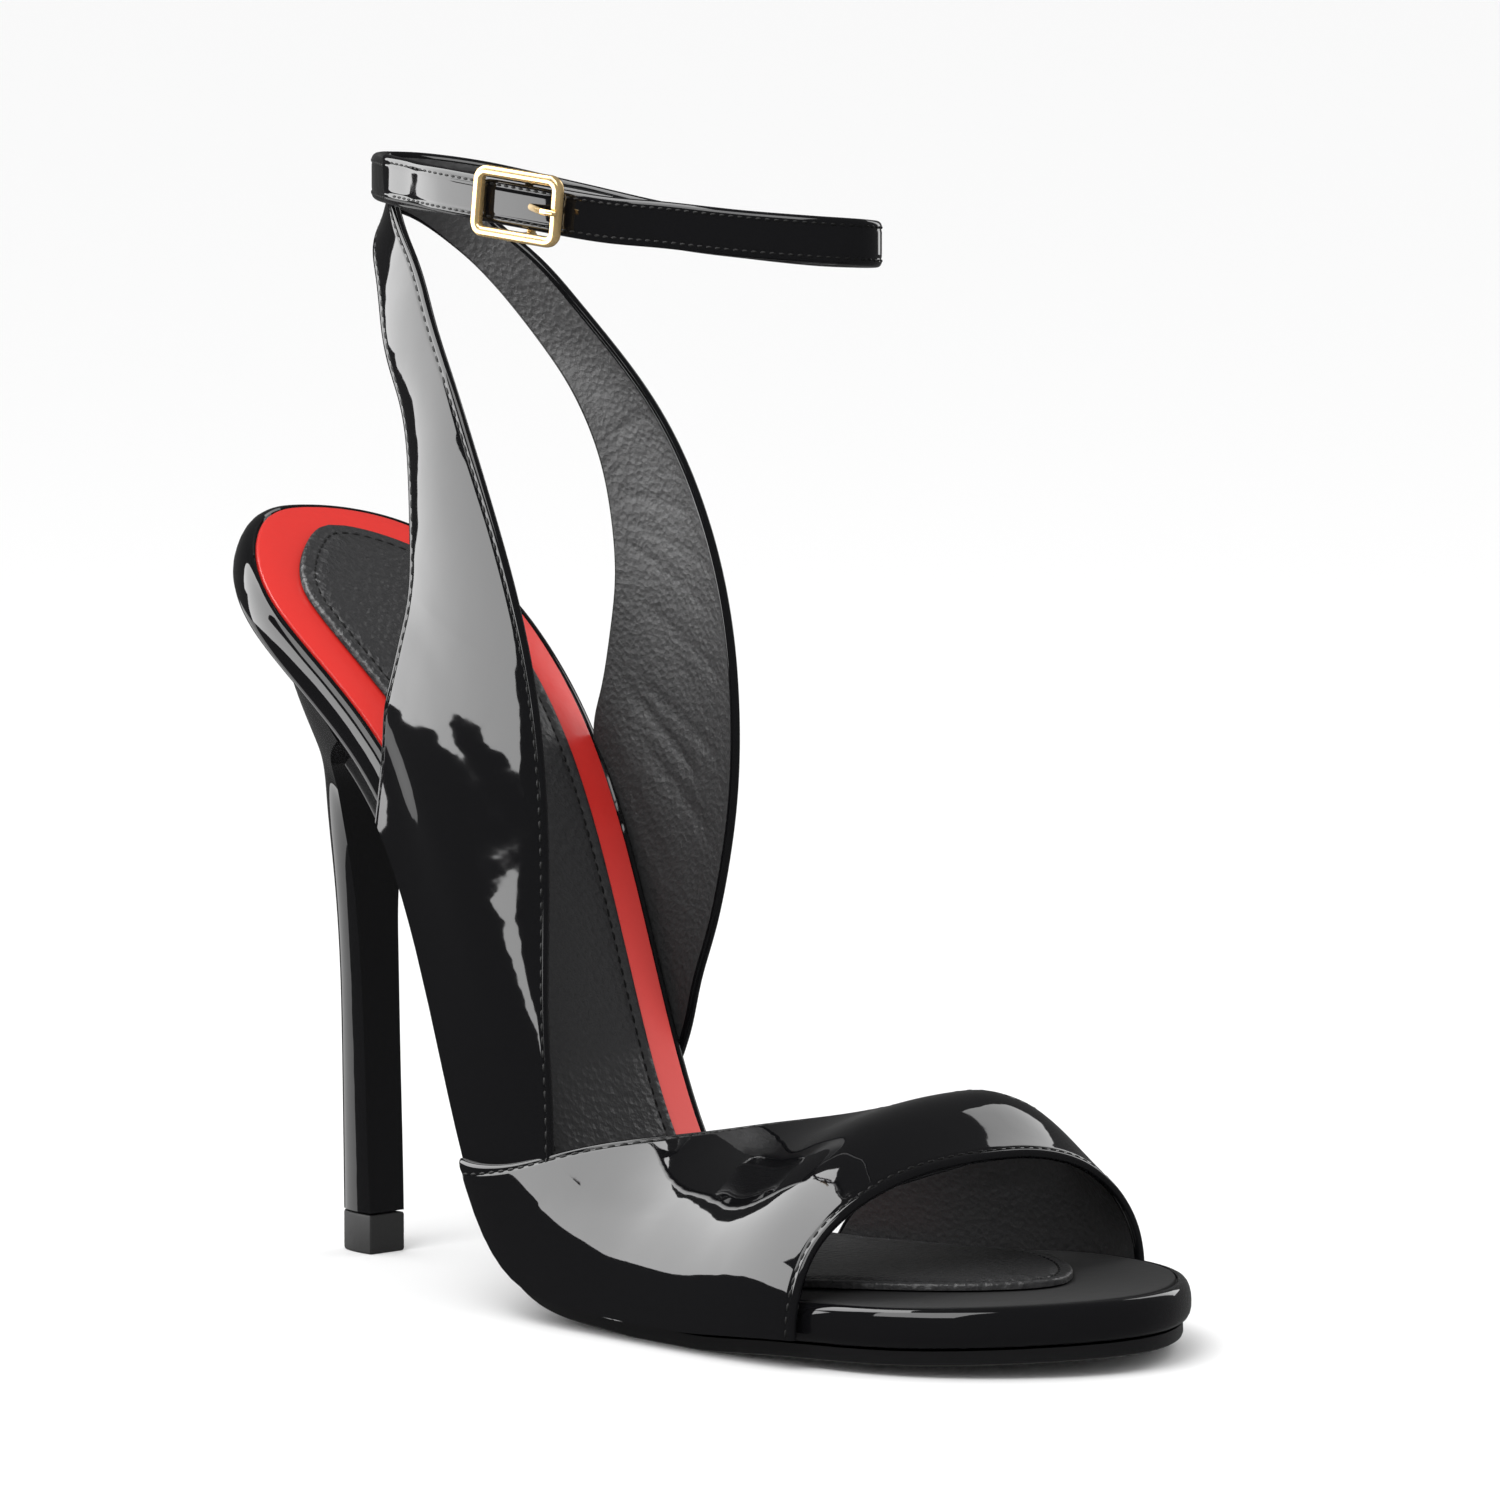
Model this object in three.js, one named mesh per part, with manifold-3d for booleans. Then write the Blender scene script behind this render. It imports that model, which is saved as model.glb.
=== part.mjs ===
// High-heeled sandal for the right foot, in millimetres: toe along +X, outer side along -Y, up along +Z.
// The footbed board is one long curved slab. The upper hangs on its edge; heel and outsole sit under it.
import * as THREE from "three";
import { mergeVertices } from "three/addons/utils/BufferGeometryUtils.js";
import Module from "manifold-3d";

// Overall sizes
const sole_length = 195;
const ball_width = 73;
const seat_width = 52;
const heel_height = 115;
const sling_height = 177;
// Sheet and slab thicknesses
const board_thickness = 6.1;
const outsole_thickness = 2.3;
const insole_thickness = 0.8;
const pad_thickness = 1.2;
const upper_wall = 1.6;
const strap_thickness = 1.8;
const strap_width = 7.2;
// Clear space between two pieces that are glued or stitched in the real shoe
const seat_gap = 0.3;
// Widths of the visible borders, measured in from the edge of the board
const insole_inset = 2.3;
const pad_inset = 9;
const pad_start = 9;
const pad_taper_start = sole_length * (118 / 195);
const pad_end = sole_length * (176 / 195);
const pad_heel_round = 14;
const outsole_inset = 1.4;
const outsole_start = sole_length * (43 / 195);
// The vamp lies over the front ends of the wings
const vamp_lap = 0.7;
const vamp_fullness = 2.2;
const upper_foot = 0.7;
const wing_bow = 2.2;
// Heel and its rubber tip
const heel_centre = -1;
const lift_height = 6.4;
const heel_fullness = 2.15;
// Buckle on the outer side of the ankle strap
const buckle_length = 17.5;
const buckle_height = 11.2;
const buckle_bar = 1.7;
const buckle_round = 2;
const hinge_bar = 1.4;
const prong_width = 1.3;
const prong_thickness = 0.9;
const prong_reach = 0.3;
const slot_length = 5.2;
const frame_bevel = 0.35;

// Underside of the board from the back of the seat to the toe, in shares of sole_length and heel_height
const bottom_line = [
  { along: 0, height: 1 },
  { along: 0.04, height: 0.969 },
  { along: 0.08, height: 0.928 },
  { along: 0.12, height: 0.878 },
  { along: 0.18, height: 0.791 },
  { along: 0.24, height: 0.688 },
  { along: 0.3, height: 0.545 },
  { along: 0.34, height: 0.415 },
  { along: 0.38, height: 0.268 },
  { along: 0.42, height: 0.142 },
  { along: 0.46, height: 0.068 },
  { along: 0.5, height: 0.0375 },
  { along: 0.56, height: 0.027 },
  { along: 0.61, height: 0.0222 },
  { along: 0.66, height: 0.0213 },
  { along: 0.7, height: 0.0242 },
  { along: 0.76, height: 0.0315 },
  { along: 0.82, height: 0.0355 },
  { along: 0.88, height: 0.0378 },
  { along: 1, height: 0.047 },
];

// Half widths of the board in shares of ball_width; turn runs from the seat (0) to the toe tip (1)
const plan_outline = [
  { turn: 0, lateral: 0, medial: 0 },
  { turn: 1 / 9, lateral: 0.197, medial: 0.245 },
  { turn: 2 / 9, lateral: 0.352, medial: 0.375 },
  { turn: 3 / 9, lateral: 0.322, medial: 0.331 },
  { turn: 4 / 9, lateral: 0.41, medial: 0.232 },
  { turn: 5 / 9, lateral: 0.46, medial: 0.375 },
  { turn: 6 / 9, lateral: 0.482, medial: 0.482 },
  { turn: 7 / 9, lateral: 0.422, medial: 0.425 },
  { turn: 8 / 9, lateral: 0.222, medial: 0.215 },
  { turn: 1, lateral: 0, medial: 0 },
];

// Outer wing from the sole up to the back of the ankle. Each row has its rear and front edge:
// along in shares of sole_length, out in shares of half the seat, up in shares of sling_height.
const lateral_wing = [
  { up: 0, rear: 0.262, rear_out: 0.942, rear_up: 0.43, front: 0.513, front_out: 1.385, front_up: 0.025 },
  { up: 0.1, rear: 0.264, rear_out: 0.908, rear_up: 0.486, front: 0.497, front_out: 1.192, front_up: 0.153 },
  { up: 0.2, rear: 0.268, rear_out: 0.923, rear_up: 0.52, front: 0.477, front_out: 1.058, front_up: 0.254 },
  { up: 0.3, rear: 0.277, rear_out: 0.923, rear_up: 0.554, front: 0.463, front_out: 0.942, front_up: 0.35 },
  { up: 0.4, rear: 0.285, rear_out: 0.908, rear_up: 0.588, front: 0.453, front_out: 0.885, front_up: 0.452 },
  { up: 0.5, rear: 0.291, rear_out: 0.885, rear_up: 0.627, front: 0.438, front_out: 0.869, front_up: 0.548 },
  { up: 0.6, rear: 0.289, rear_out: 0.862, rear_up: 0.678, front: 0.413, front_out: 0.885, front_up: 0.644 },
  { up: 0.7, rear: 0.28, rear_out: 0.815, rear_up: 0.734, front: 0.372, front_out: 0.862, front_up: 0.74 },
  { up: 0.8, rear: 0.258, rear_out: 0.738, rear_up: 0.791, front: 0.325, front_out: 0.773, front_up: 0.819 },
  { up: 0.88, rear: 0.223, rear_out: 0.635, rear_up: 0.847, front: 0.282, front_out: 0.638, front_up: 0.873 },
  { up: 0.93, rear: 0.19, rear_out: 0.462, rear_up: 0.898, front: 0.244, front_out: 0.512, front_up: 0.918 },
  { up: 0.96, rear: 0.166, rear_out: 0.308, rear_up: 0.928, front: 0.21, front_out: 0.404, front_up: 0.949 },
  { up: 0.98, rear: 0.154, rear_out: 0.138, rear_up: 0.945, front: 0.181, front_out: 0.27, front_up: 0.977 },
  { up: 1, rear: 0.147, rear_out: -0.019, rear_up: 0.952, front: 0.147, front_out: -0.019, front_up: 1 },
];

// Inner wing, in the same shares; its upper half is the same as that of the outer wing
const medial_wing = [
  { up: 0, rear: 0.262, rear_out: 0.942, rear_up: 0.43, front: 0.379, front_out: 0.712, front_up: 0.175 },
  { up: 0.1, rear: 0.259, rear_out: 0.923, rear_up: 0.486, front: 0.402, front_out: 0.692, front_up: 0.22 },
  { up: 0.2, rear: 0.268, rear_out: 0.923, rear_up: 0.52, front: 0.413, front_out: 0.712, front_up: 0.266 },
  { up: 0.3, rear: 0.277, rear_out: 0.923, rear_up: 0.554, front: 0.425, front_out: 0.762, front_up: 0.316 },
  { up: 0.4, rear: 0.285, rear_out: 0.908, rear_up: 0.588, front: 0.435, front_out: 0.815, front_up: 0.384 },
  { up: 0.5, rear: 0.291, rear_out: 0.885, rear_up: 0.627, front: 0.441, front_out: 0.842, front_up: 0.469 },
  { up: 0.6, rear: 0.289, rear_out: 0.862, rear_up: 0.678, front: 0.431, front_out: 0.862, front_up: 0.582 },
  { up: 0.7, rear: 0.28, rear_out: 0.815, rear_up: 0.734, front: 0.395, front_out: 0.881, front_up: 0.692 },
  { up: 0.8, rear: 0.258, rear_out: 0.738, rear_up: 0.791, front: 0.341, front_out: 0.8, front_up: 0.794 },
  ...lateral_wing.slice(9),
];

// Crest of the vamp: along in shares of sole_length, height in shares of heel_height, out towards the inner
// side in shares of ball_width
const vamp_crest = [
  { along: 0.4, height: 0.5, out: 0.15 },
  { along: 0.446, height: 0.458, out: 0.16 },
  { along: 0.497, height: 0.41, out: 0.165 },
  { along: 0.574, height: 0.316, out: 0.165 },
  { along: 0.636, height: 0.293, out: 0.17 },
  { along: 0.703, height: 0.301, out: 0.17 },
  { along: 0.76, height: 0.318, out: 0.15 },
  { along: 0.795, height: 0.29, out: 0.09 },
  { along: 0.83, height: 0.255, out: 0.04 },
  { along: 0.87, height: 0.23, out: 0.03 },
];

// Rear and front edge of the vamp in shares of sole_length; across runs over the foot from the outer side
const vamp_edges = [
  { across: 0, rear: 0.4, front: 0.808 },
  { across: 0.08, rear: 0.44, front: 0.808 },
  { across: 0.155, rear: 0.497, front: 0.809 },
  { across: 0.285, rear: 0.574, front: 0.818 },
  { across: 0.38, rear: 0.636, front: 0.824 },
  { across: 0.457, rear: 0.697, front: 0.828 },
  { across: 0.552, rear: 0.75, front: 0.829 },
  { across: 0.626, rear: 0.759, front: 0.828 },
  { across: 0.7, rear: 0.744, front: 0.826 },
  { across: 0.786, rear: 0.665, front: 0.826 },
  { across: 0.874, rear: 0.58, front: 0.825 },
  { across: 1, rear: 0.525, front: 0.82 },
];

// Heel: breast line in shares of sole_length, width and depth in shares of seat_width, high in shares of
// heel_height. The lowest section stands clear of the rubber tip.
const heel_sections = [
  { high: (lift_height + seat_gap) / heel_height, breast: 0.141, width: 0.14, depth: 0.181 },
  { high: 0.113, breast: 0.1395, width: 0.146, depth: 0.175 },
  { high: 0.27, breast: 0.136, width: 0.151, depth: 0.165 },
  { high: 0.426, breast: 0.132, width: 0.163, depth: 0.158 },
  { high: 0.53, breast: 0.129, width: 0.195, depth: 0.16 },
  { high: 0.635, breast: 0.131, width: 0.288, depth: 0.167 },
  { high: 0.713, breast: 0.1375, width: 0.385, depth: 0.192 },
  { high: 0.774, breast: 0.151, width: 0.519, depth: 0.298 },
  { high: 0.826, breast: 0.174, width: 0.673, depth: 0.423 },
  { high: 0.88, breast: 0.208, width: 0.846, depth: 0.56 },
];

// Middle line of the ankle strap, from its buckle end round the back of the ankle, the inner side and the
// front to the free end: along in shares of sole_length, out in shares of half the seat, high in shares of sling_height
const strap_line = [
  { along: 0.505, out: -0.69, high: 0.961 },
  { along: 0.437, out: -0.79, high: 0.9712 },
  { along: 0.35, out: -0.84, high: 0.979 },
  { along: 0.277, out: -0.76, high: 0.982 },
  { along: 0.226, out: -0.577, high: 0.984 },
  { along: 0.182, out: -0.366, high: 0.985 },
  { along: 0.1525, out: -0.16, high: 0.986 },
  { along: 0.1395, out: 0.015, high: 0.9855 },
  { along: 0.1525, out: 0.19, high: 0.984 },
  { along: 0.192, out: 0.42, high: 0.977 },
  { along: 0.267, out: 0.7, high: 0.959 },
  { along: 0.359, out: 0.858, high: 0.942 },
  { along: 0.451, out: 0.865, high: 0.936 },
  { along: 0.533, out: 0.777, high: 0.934 },
  { along: 0.605, out: 0.6, high: 0.936 },
  { along: 0.654, out: 0.385, high: 0.939 },
  { along: 0.6785, out: 0.185, high: 0.9415 },
  { along: 0.682, out: 0, high: 0.944 },
  { along: 0.664, out: -0.192, high: 0.9465 },
  { along: 0.615, out: -0.442, high: 0.951 },
  { along: 0.559, out: -0.638, high: 0.957 },
];

// The free end of the strap lies outside its buckle end: row counts from the buckle end, clear is the space
// between the two and rise is how far it climbs, in millimetres. Over the buckle it clears the hinge bar.
const strap_free_end = [
  { row: 0, clear: 0.7, rise: 0 },
  { row: 1, clear: hinge_bar + 2 * seat_gap, rise: 0 },
  { row: 2, clear: 1.6, rise: 0.5 },
  { row: 2.7, clear: 1.2, rise: 1 },
  { row: 3.1, clear: 1.2, rise: 1.3 },
  { row: 3.3, clear: 1.4, rise: 1.5 },
];

const wasm = await Module();
wasm.setup();

// A smooth curve through one column of a table
function curve(rows, across, column) {
  const x = rows.map((row) => row[across]);
  const y = rows.map((row) => row[column]);
  const last = x.length - 1;
  const bend = new Array(last + 1).fill(0);
  const load = new Array(last + 1).fill(0);
  for (let i = 1; i < last; i++) {
    const share = (x[i] - x[i - 1]) / (x[i + 1] - x[i - 1]);
    const down = share * bend[i - 1] + 2;
    const turn = (y[i + 1] - y[i]) / (x[i + 1] - x[i]) - (y[i] - y[i - 1]) / (x[i] - x[i - 1]);
    bend[i] = (share - 1) / down;
    load[i] = ((6 * turn) / (x[i + 1] - x[i - 1]) - share * load[i - 1]) / down;
  }
  for (let i = last - 1; i > 0; i--) bend[i] = bend[i] * bend[i + 1] + load[i];
  return (at) => {
    const held = Math.min(Math.max(at, x[0]), x[last]);
    let i = 1;
    while (i < last && x[i] < held) i++;
    const span = x[i] - x[i - 1];
    const a = (x[i] - held) / span;
    const b = 1 - a;
    const sag = ((a ** 3 - a) * bend[i - 1] + (b ** 3 - b) * bend[i]) * (span * span) / 6;
    return a * y[i - 1] + b * y[i] + sag;
  };
}

// Height of the underside of the board, kept level under the ball of the foot
const bottom_share = curve(bottom_line, "along", "height");
const tread_height = outsole_thickness + seat_gap;
function boardHeight(x) {
  return Math.max(tread_height, heel_height * bottom_share(x / sole_length));
}
function boardSlope(x) {
  const step = 0.5;
  const low = Math.max(x - step, 0);
  const high = Math.min(x + step, sole_length);
  return (boardHeight(high) - boardHeight(low)) / (high - low);
}
// The point that lies rise above the underside of the board, square to it
function onBoard(x, y, rise) {
  const slope = boardSlope(x);
  const size = Math.hypot(1, slope);
  return new THREE.Vector3(x - (slope * rise) / size, y, boardHeight(x) + rise / size);
}

const lateral_share = curve(plan_outline, "turn", "lateral");
const medial_share = curve(plan_outline, "turn", "medial");
function turnAt(x) {
  return Math.acos(1 - (2 * Math.min(Math.max(x, 0), sole_length)) / sole_length) / Math.PI;
}
function alongAt(turn) {
  return (sole_length * (1 - Math.cos(Math.PI * turn))) / 2;
}
function lateralWidth(x) {
  return ball_width * lateral_share(turnAt(x));
}
function medialWidth(x) {
  return ball_width * medial_share(turnAt(x));
}

// A closed plan outline: start tip, outer side to the toe, end tip, inner side back.
// The sides come from two functions of x.
function planLoop(start, end, outer, inner, steps) {
  const plan = [];
  const first = turnAt(start);
  const last = turnAt(end);
  const xs = [];
  for (let i = 0; i <= steps; i++) xs.push(alongAt(first + ((last - first) * i) / steps));
  xs[0] = start;
  xs[steps] = end;
  const open_start = outer(start) + inner(start) > 1;
  const side = open_start ? [start, ...xs.slice(1, -1)] : xs.slice(1, -1);
  plan.push([start, (inner(start) - outer(start)) / 2]);
  side.forEach((x) => plan.push([x, -outer(x)]));
  plan.push([end, (inner(end) - outer(end)) / 2]);
  side.reverse().forEach((x) => plan.push([x, inner(x)]));
  return plan;
}

// The outline moved in by inset and laid on the board at a rise above its underside
function ring(plan, inset, rise, flat_start) {
  const count = plan.length;
  return plan.map(([x, y], i) => {
    const before = plan[(i + count - 1) % count];
    const after = plan[(i + 1) % count];
    const dx = after[0] - before[0];
    const dy = after[1] - before[1];
    const size = Math.hypot(dx, dy);
    const straight = flat_start && x < plan[0][0] + 0.01;
    if (straight) return onBoard(x, i === 0 ? y : y - Math.sign(y) * inset, rise);
    return onBoard(x - (dy / size) * inset, y + (dx / size) * inset, rise);
  });
}

// A closed body through rings of equal count, with ladder caps between the outer and the inner side
function slab(rings) {
  const count = rings[0].length;
  const half = count / 2;
  const points = rings.flat();
  const faces = [];
  for (let k = 0; k + 1 < rings.length; k++)
    for (let i = 0; i < count; i++) {
      const a = k * count + i;
      const b = k * count + ((i + 1) % count);
      faces.push(a, b, b + count, a, b + count, a + count);
    }
  const top = (rings.length - 1) * count;
  for (let i = 0; i < half; i++) {
    const far = (count - i) % count;
    const near = count - i - 1;
    if (i + 1 !== near) {
      faces.push(i, near, i + 1);
      faces.push(top + i, top + i + 1, top + near);
    }
    if (far !== i) {
      faces.push(i, far, near);
      faces.push(top + i, top + near, top + far);
    }
  }
  return solid(points, faces);
}

function solid(points, faces) {
  const geometry = new THREE.BufferGeometry();
  const places = new Float32Array(points.length * 3);
  points.forEach((p, i) => p.toArray(places, i * 3));
  geometry.setAttribute("position", new THREE.BufferAttribute(places, 3));
  geometry.setIndex(faces);
  return geometry;
}

// A sheet of the given wall: rows of points are its outer face, and its inner face lies square below them
function sheet(rows, wall, turned) {
  const high = rows.length;
  const wide = rows[0].length;
  const sign = turned ? -1 : 1;
  const outer = rows.flat();
  const inner = [];
  for (let j = 0; j < high; j++)
    for (let i = 0; i < wide; i++) {
      const across = rows[j][Math.min(i + 1, wide - 1)].clone().sub(rows[j][Math.max(i - 1, 0)]);
      const along = rows[Math.min(j + 1, high - 1)][i].clone().sub(rows[Math.max(j - 1, 0)][i]);
      const out = across.cross(along).normalize().multiplyScalar(sign);
      inner.push(rows[j][i].clone().addScaledVector(out, -wall));
    }
  const points = [...outer, ...inner];
  const under = outer.length;
  const faces = [];
  const quad = (a, b, c, d) => {
    if (turned) faces.push(a, c, b, a, d, c);
    else faces.push(a, b, c, a, c, d);
  };
  for (let j = 0; j + 1 < high; j++)
    for (let i = 0; i + 1 < wide; i++) {
      const a = j * wide + i;
      quad(a, a + 1, a + wide + 1, a + wide);
      quad(under + a, under + a + wide, under + a + wide + 1, under + a + 1);
    }
  for (let i = 0; i + 1 < wide; i++) {
    const low = i;
    const top = (high - 1) * wide + i;
    quad(low, under + low, under + low + 1, low + 1);
    quad(top, top + 1, under + top + 1, under + top);
  }
  for (let j = 0; j + 1 < high; j++) {
    const left = j * wide;
    const right = j * wide + wide - 1;
    quad(left, left + wide, under + left + wide, under + left);
    quad(right, under + right, under + right + wide, right + wide);
  }
  return solid(points, faces);
}

function toManifold(geometry) {
  const bare = geometry.clone();
  bare.deleteAttribute("normal");
  bare.deleteAttribute("uv");
  const merged = mergeVertices(bare, 1e-3);
  return new wasm.Manifold(
    new wasm.Mesh({
      numProp: 3,
      vertProperties: new Float32Array(merged.attributes.position.array),
      triVerts: new Uint32Array(merged.index.array),
    }),
  );
}
function toGeometry(body) {
  const mesh = body.getMesh();
  const geometry = new THREE.BufferGeometry();
  geometry.setAttribute("position", new THREE.BufferAttribute(mesh.vertProperties, 3));
  geometry.setIndex(new THREE.BufferAttribute(mesh.triVerts, 1));
  return geometry;
}

// Footbed board: full outline with a rounded, patent-wrapped edge
const board_plan = planLoop(0, sole_length, lateralWidth, medialWidth, 62);
const board_edge = [
  { inset: 1.4, rise: 0 },
  { inset: 0.35, rise: 0.14 },
  { inset: 0, rise: 0.38 },
  { inset: 0, rise: 0.66 },
  { inset: 0.7, rise: 0.9 },
  { inset: 1.7, rise: 1 },
  { inset: 1.95, rise: 0.85 },
];
const footbed = slab(board_edge.map((row) => ring(board_plan, row.inset, row.rise * board_thickness)));

// Outsole: thin slab under the board, from the heel breast to the toe
const outsole_plan = planLoop(outsole_start, sole_length, lateralWidth, medialWidth, 54);
const outsole_top = -seat_gap;
const outsole = slab([
  ring(outsole_plan, outsole_inset + 0.6, outsole_top - outsole_thickness, true),
  ring(outsole_plan, outsole_inset, outsole_top - outsole_thickness * 0.75, true),
  ring(outsole_plan, outsole_inset, outsole_top, true),
]);

// Insole cover and the padded strip on it
const recess_share = board_edge.at(-1).rise;
const insole_low = board_thickness * recess_share + seat_gap;
const insole_plan = planLoop(0, sole_length, lateralWidth, medialWidth, 54);
const insole = slab([
  ring(insole_plan, insole_inset, insole_low),
  ring(insole_plan, insole_inset, insole_low + insole_thickness),
]);

// The pad keeps its distance from the edge up to the ball and then runs out to a round tip in the toe
function padWidth(full, x) {
  const kept = full - pad_inset;
  const share = Math.max(0, (x - pad_taper_start) / (pad_end - pad_taper_start));
  const start = Math.min(1, (x - pad_start) / pad_heel_round);
  return kept * Math.sqrt(Math.max(0, 1 - share ** 2.2)) * Math.sqrt(Math.max(0, 1 - (1 - start) ** 2));
}
const pad_low = insole_low + insole_thickness + seat_gap;
const pad_plan = planLoop(
  pad_start,
  pad_end,
  (x) => padWidth(lateralWidth(x), x),
  (x) => padWidth(medialWidth(x), x),
  54,
);
const insole_pad = slab([
  ring(pad_plan, 0, pad_low),
  ring(pad_plan, 0.2, pad_low + pad_thickness * 0.6),
  ring(pad_plan, 1.6, pad_low + pad_thickness),
]);

// Heel: D-shaped sections, flat towards the toe, that open out into a cup under the seat
const heel_round = 24;
const heel_flat = 5;
function heelRing(section, seat) {
  const breast = sole_length * section.breast;
  const half = (seat_width * section.width) / 2;
  const depth = seat_width * section.depth;
  const points = [];
  for (let i = 0; i <= heel_round; i++) {
    const angle = (Math.PI * i) / heel_round;
    const c = Math.cos(angle);
    const s = Math.sin(angle);
    const x = breast - depth * Math.abs(s) ** (2 / heel_fullness);
    const y = heel_centre + half * Math.sign(c) * Math.abs(c) ** (2 / heel_fullness);
    points.push([x, y]);
  }
  for (let i = 1; i < heel_flat; i++) points.push([breast, heel_centre - half + (2 * half * i) / heel_flat]);
  const level = heel_height * section.high;
  return points.map(([x, y]) => {
    if (!seat) return new THREE.Vector3(x, y, level);
    return onBoard(x, y, -seat_gap);
  });
}
const heel_columns = ["breast", "width", "depth"];
const heel_curves = Object.fromEntries(
  heel_columns.map((name) => [name, curve(heel_sections, "high", name)]),
);
function heelAt(high) {
  const section = { high };
  heel_columns.forEach((name) => (section[name] = heel_curves[name](high)));
  return section;
}
function stack(rings) {
  const count = rings[0].length;
  const points = rings.flat();
  const faces = [];
  for (let k = 0; k + 1 < rings.length; k++)
    for (let i = 0; i < count; i++) {
      const a = k * count + i;
      const b = k * count + ((i + 1) % count);
      faces.push(a, b, b + count, a, b + count, a + count);
    }
  const caps = [0, (rings.length - 1) * count];
  caps.forEach((base, k) => {
    const own = rings[k ? rings.length - 1 : 0];
    const centre = own.reduce((sum, p) => sum.add(p), new THREE.Vector3()).divideScalar(count);
    const middle = points.push(centre) - 1;
    for (let i = 0; i < count; i++) {
      const j = (i + 1) % count;
      if (k) faces.push(base + i, base + j, middle);
      else faces.push(base + j, base + i, middle);
    }
  });
  return solid(points, faces);
}
const heel_low = heel_sections[0].high;
const heel_high = heel_sections.at(-1).high;
const heel_rings = [];
const heel_steps = 24;
for (let k = 0; k <= heel_steps; k++)
  heel_rings.push(heelRing(heelAt(heel_low + ((heel_high - heel_low) * k) / heel_steps)));
// Towards the seat the sections lean over until the last one lies against the underside of the board
const cup_start = 0.5;
const seat_ring = heelRing(heel_sections.at(-1), true);
const cup_rings = heel_rings.map((points, k) => {
  const share = Math.max(0, (k / heel_steps - cup_start) / (1 - cup_start)) ** 2;
  return points.map((p, i) => p.clone().setZ(p.z + (seat_ring[i].z - heel_height * heel_high) * share));
});
const heel = stack([...cup_rings.slice(0, -1), seat_ring]);

const lift_section = { ...heel_sections[0], high: lift_height / heel_height };
const top_lift = stack([heelRing({ ...lift_section, high: 0 }), heelRing(lift_section)]);

// Upper: vamp band, two wings and their joint behind the ankle, in one body
const crest_height = curve(vamp_crest, "along", "height");
const crest_out = curve(vamp_crest, "along", "out");
function vampPoint(x, across) {
  const angle = Math.PI * across;
  const c = Math.cos(angle);
  const s = Math.sin(angle);
  const power = 2 / vamp_fullness;
  const spread = upper_wall + seat_gap + vamp_lap;
  const middle = ball_width * crest_out(x / sole_length);
  const side = c > 0 ? lateralWidth(x) + spread + middle : medialWidth(x) + spread - middle;
  const base = boardHeight(x) + upper_foot;
  const crest = heel_height * crest_height(x / sole_length);
  const y = middle - Math.sign(c) * Math.abs(c) ** power * side;
  return new THREE.Vector3(x, y, base + (crest - base) * Math.abs(s) ** power);
}
const vamp_rear = curve(vamp_edges, "across", "rear");
const vamp_front = curve(vamp_edges, "across", "front");
const vamp_rows = [];
const vamp_across = 42;
const vamp_along = 10;
for (let j = 0; j <= vamp_along; j++) {
  const row = [];
  for (let i = 0; i <= vamp_across; i++) {
    const across = i / vamp_across;
    const from = vamp_rear(across);
    const to = vamp_front(across);
    row.push(vampPoint(sole_length * (from + ((to - from) * j) / vamp_along), across));
  }
  vamp_rows.push(row);
}
const vamp = sheet(vamp_rows, upper_wall, true);

// A wing: straight from rear to front edge but for a slight bow, and led down onto the edge of the board
function wing(table, side, width) {
  const names = ["rear", "rear_out", "rear_up", "front", "front_out", "front_up"];
  const read = Object.fromEntries(names.map((name) => [name, curve(table, "up", name)]));
  const spread = upper_wall + seat_gap;
  const edge = (name, up) =>
    new THREE.Vector3(
      sole_length * read[name](up),
      ((side * seat_width) / 2) * read[name + "_out"](up),
      sling_height * read[name + "_up"](up),
    );
  const free = (t, up) => {
    const point = edge("rear", up).lerp(edge("front", up), t);
    point.y += side * wing_bow * 4 * t * (1 - t) * Math.min(1, 2 * (1 - up));
    return point;
  };
  const base = (t) => {
    const x = sole_length * (table[0].rear + (table[0].front - table[0].rear) * t);
    return onBoard(x, side * (width(x) + spread), upper_foot);
  };
  const rows = [];
  const steps_up = 32;
  const steps_across = 8;
  for (let j = 0; j <= steps_up; j++) {
    const up = j / steps_up;
    const fade = Math.max(0, 1 - up / 0.4) ** 2;
    const row = [];
    for (let i = 0; i <= steps_across; i++) {
      const t = i / steps_across;
      const lead = base(t).sub(free(t, 0)).multiplyScalar(fade);
      row.push(free(t, up).add(lead));
    }
    rows.push(row);
  }
  return sheet(rows, upper_wall, side > 0);
}
const lateral = wing(lateral_wing, -1, lateralWidth);
const medial = wing(medial_wing, 1, medialWidth);
const clear_rise = pad_low;
const clear_space = slab([
  ring(board_plan, -seat_gap, -seat_gap * 2),
  ring(board_plan, -seat_gap, board_thickness),
  ring(board_plan, insole_inset - seat_gap * 2, clear_rise),
]);
const upper = toManifold(vamp)
  .add(toManifold(lateral))
  .add(toManifold(medial))
  .subtract(toManifold(clear_space));

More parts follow.
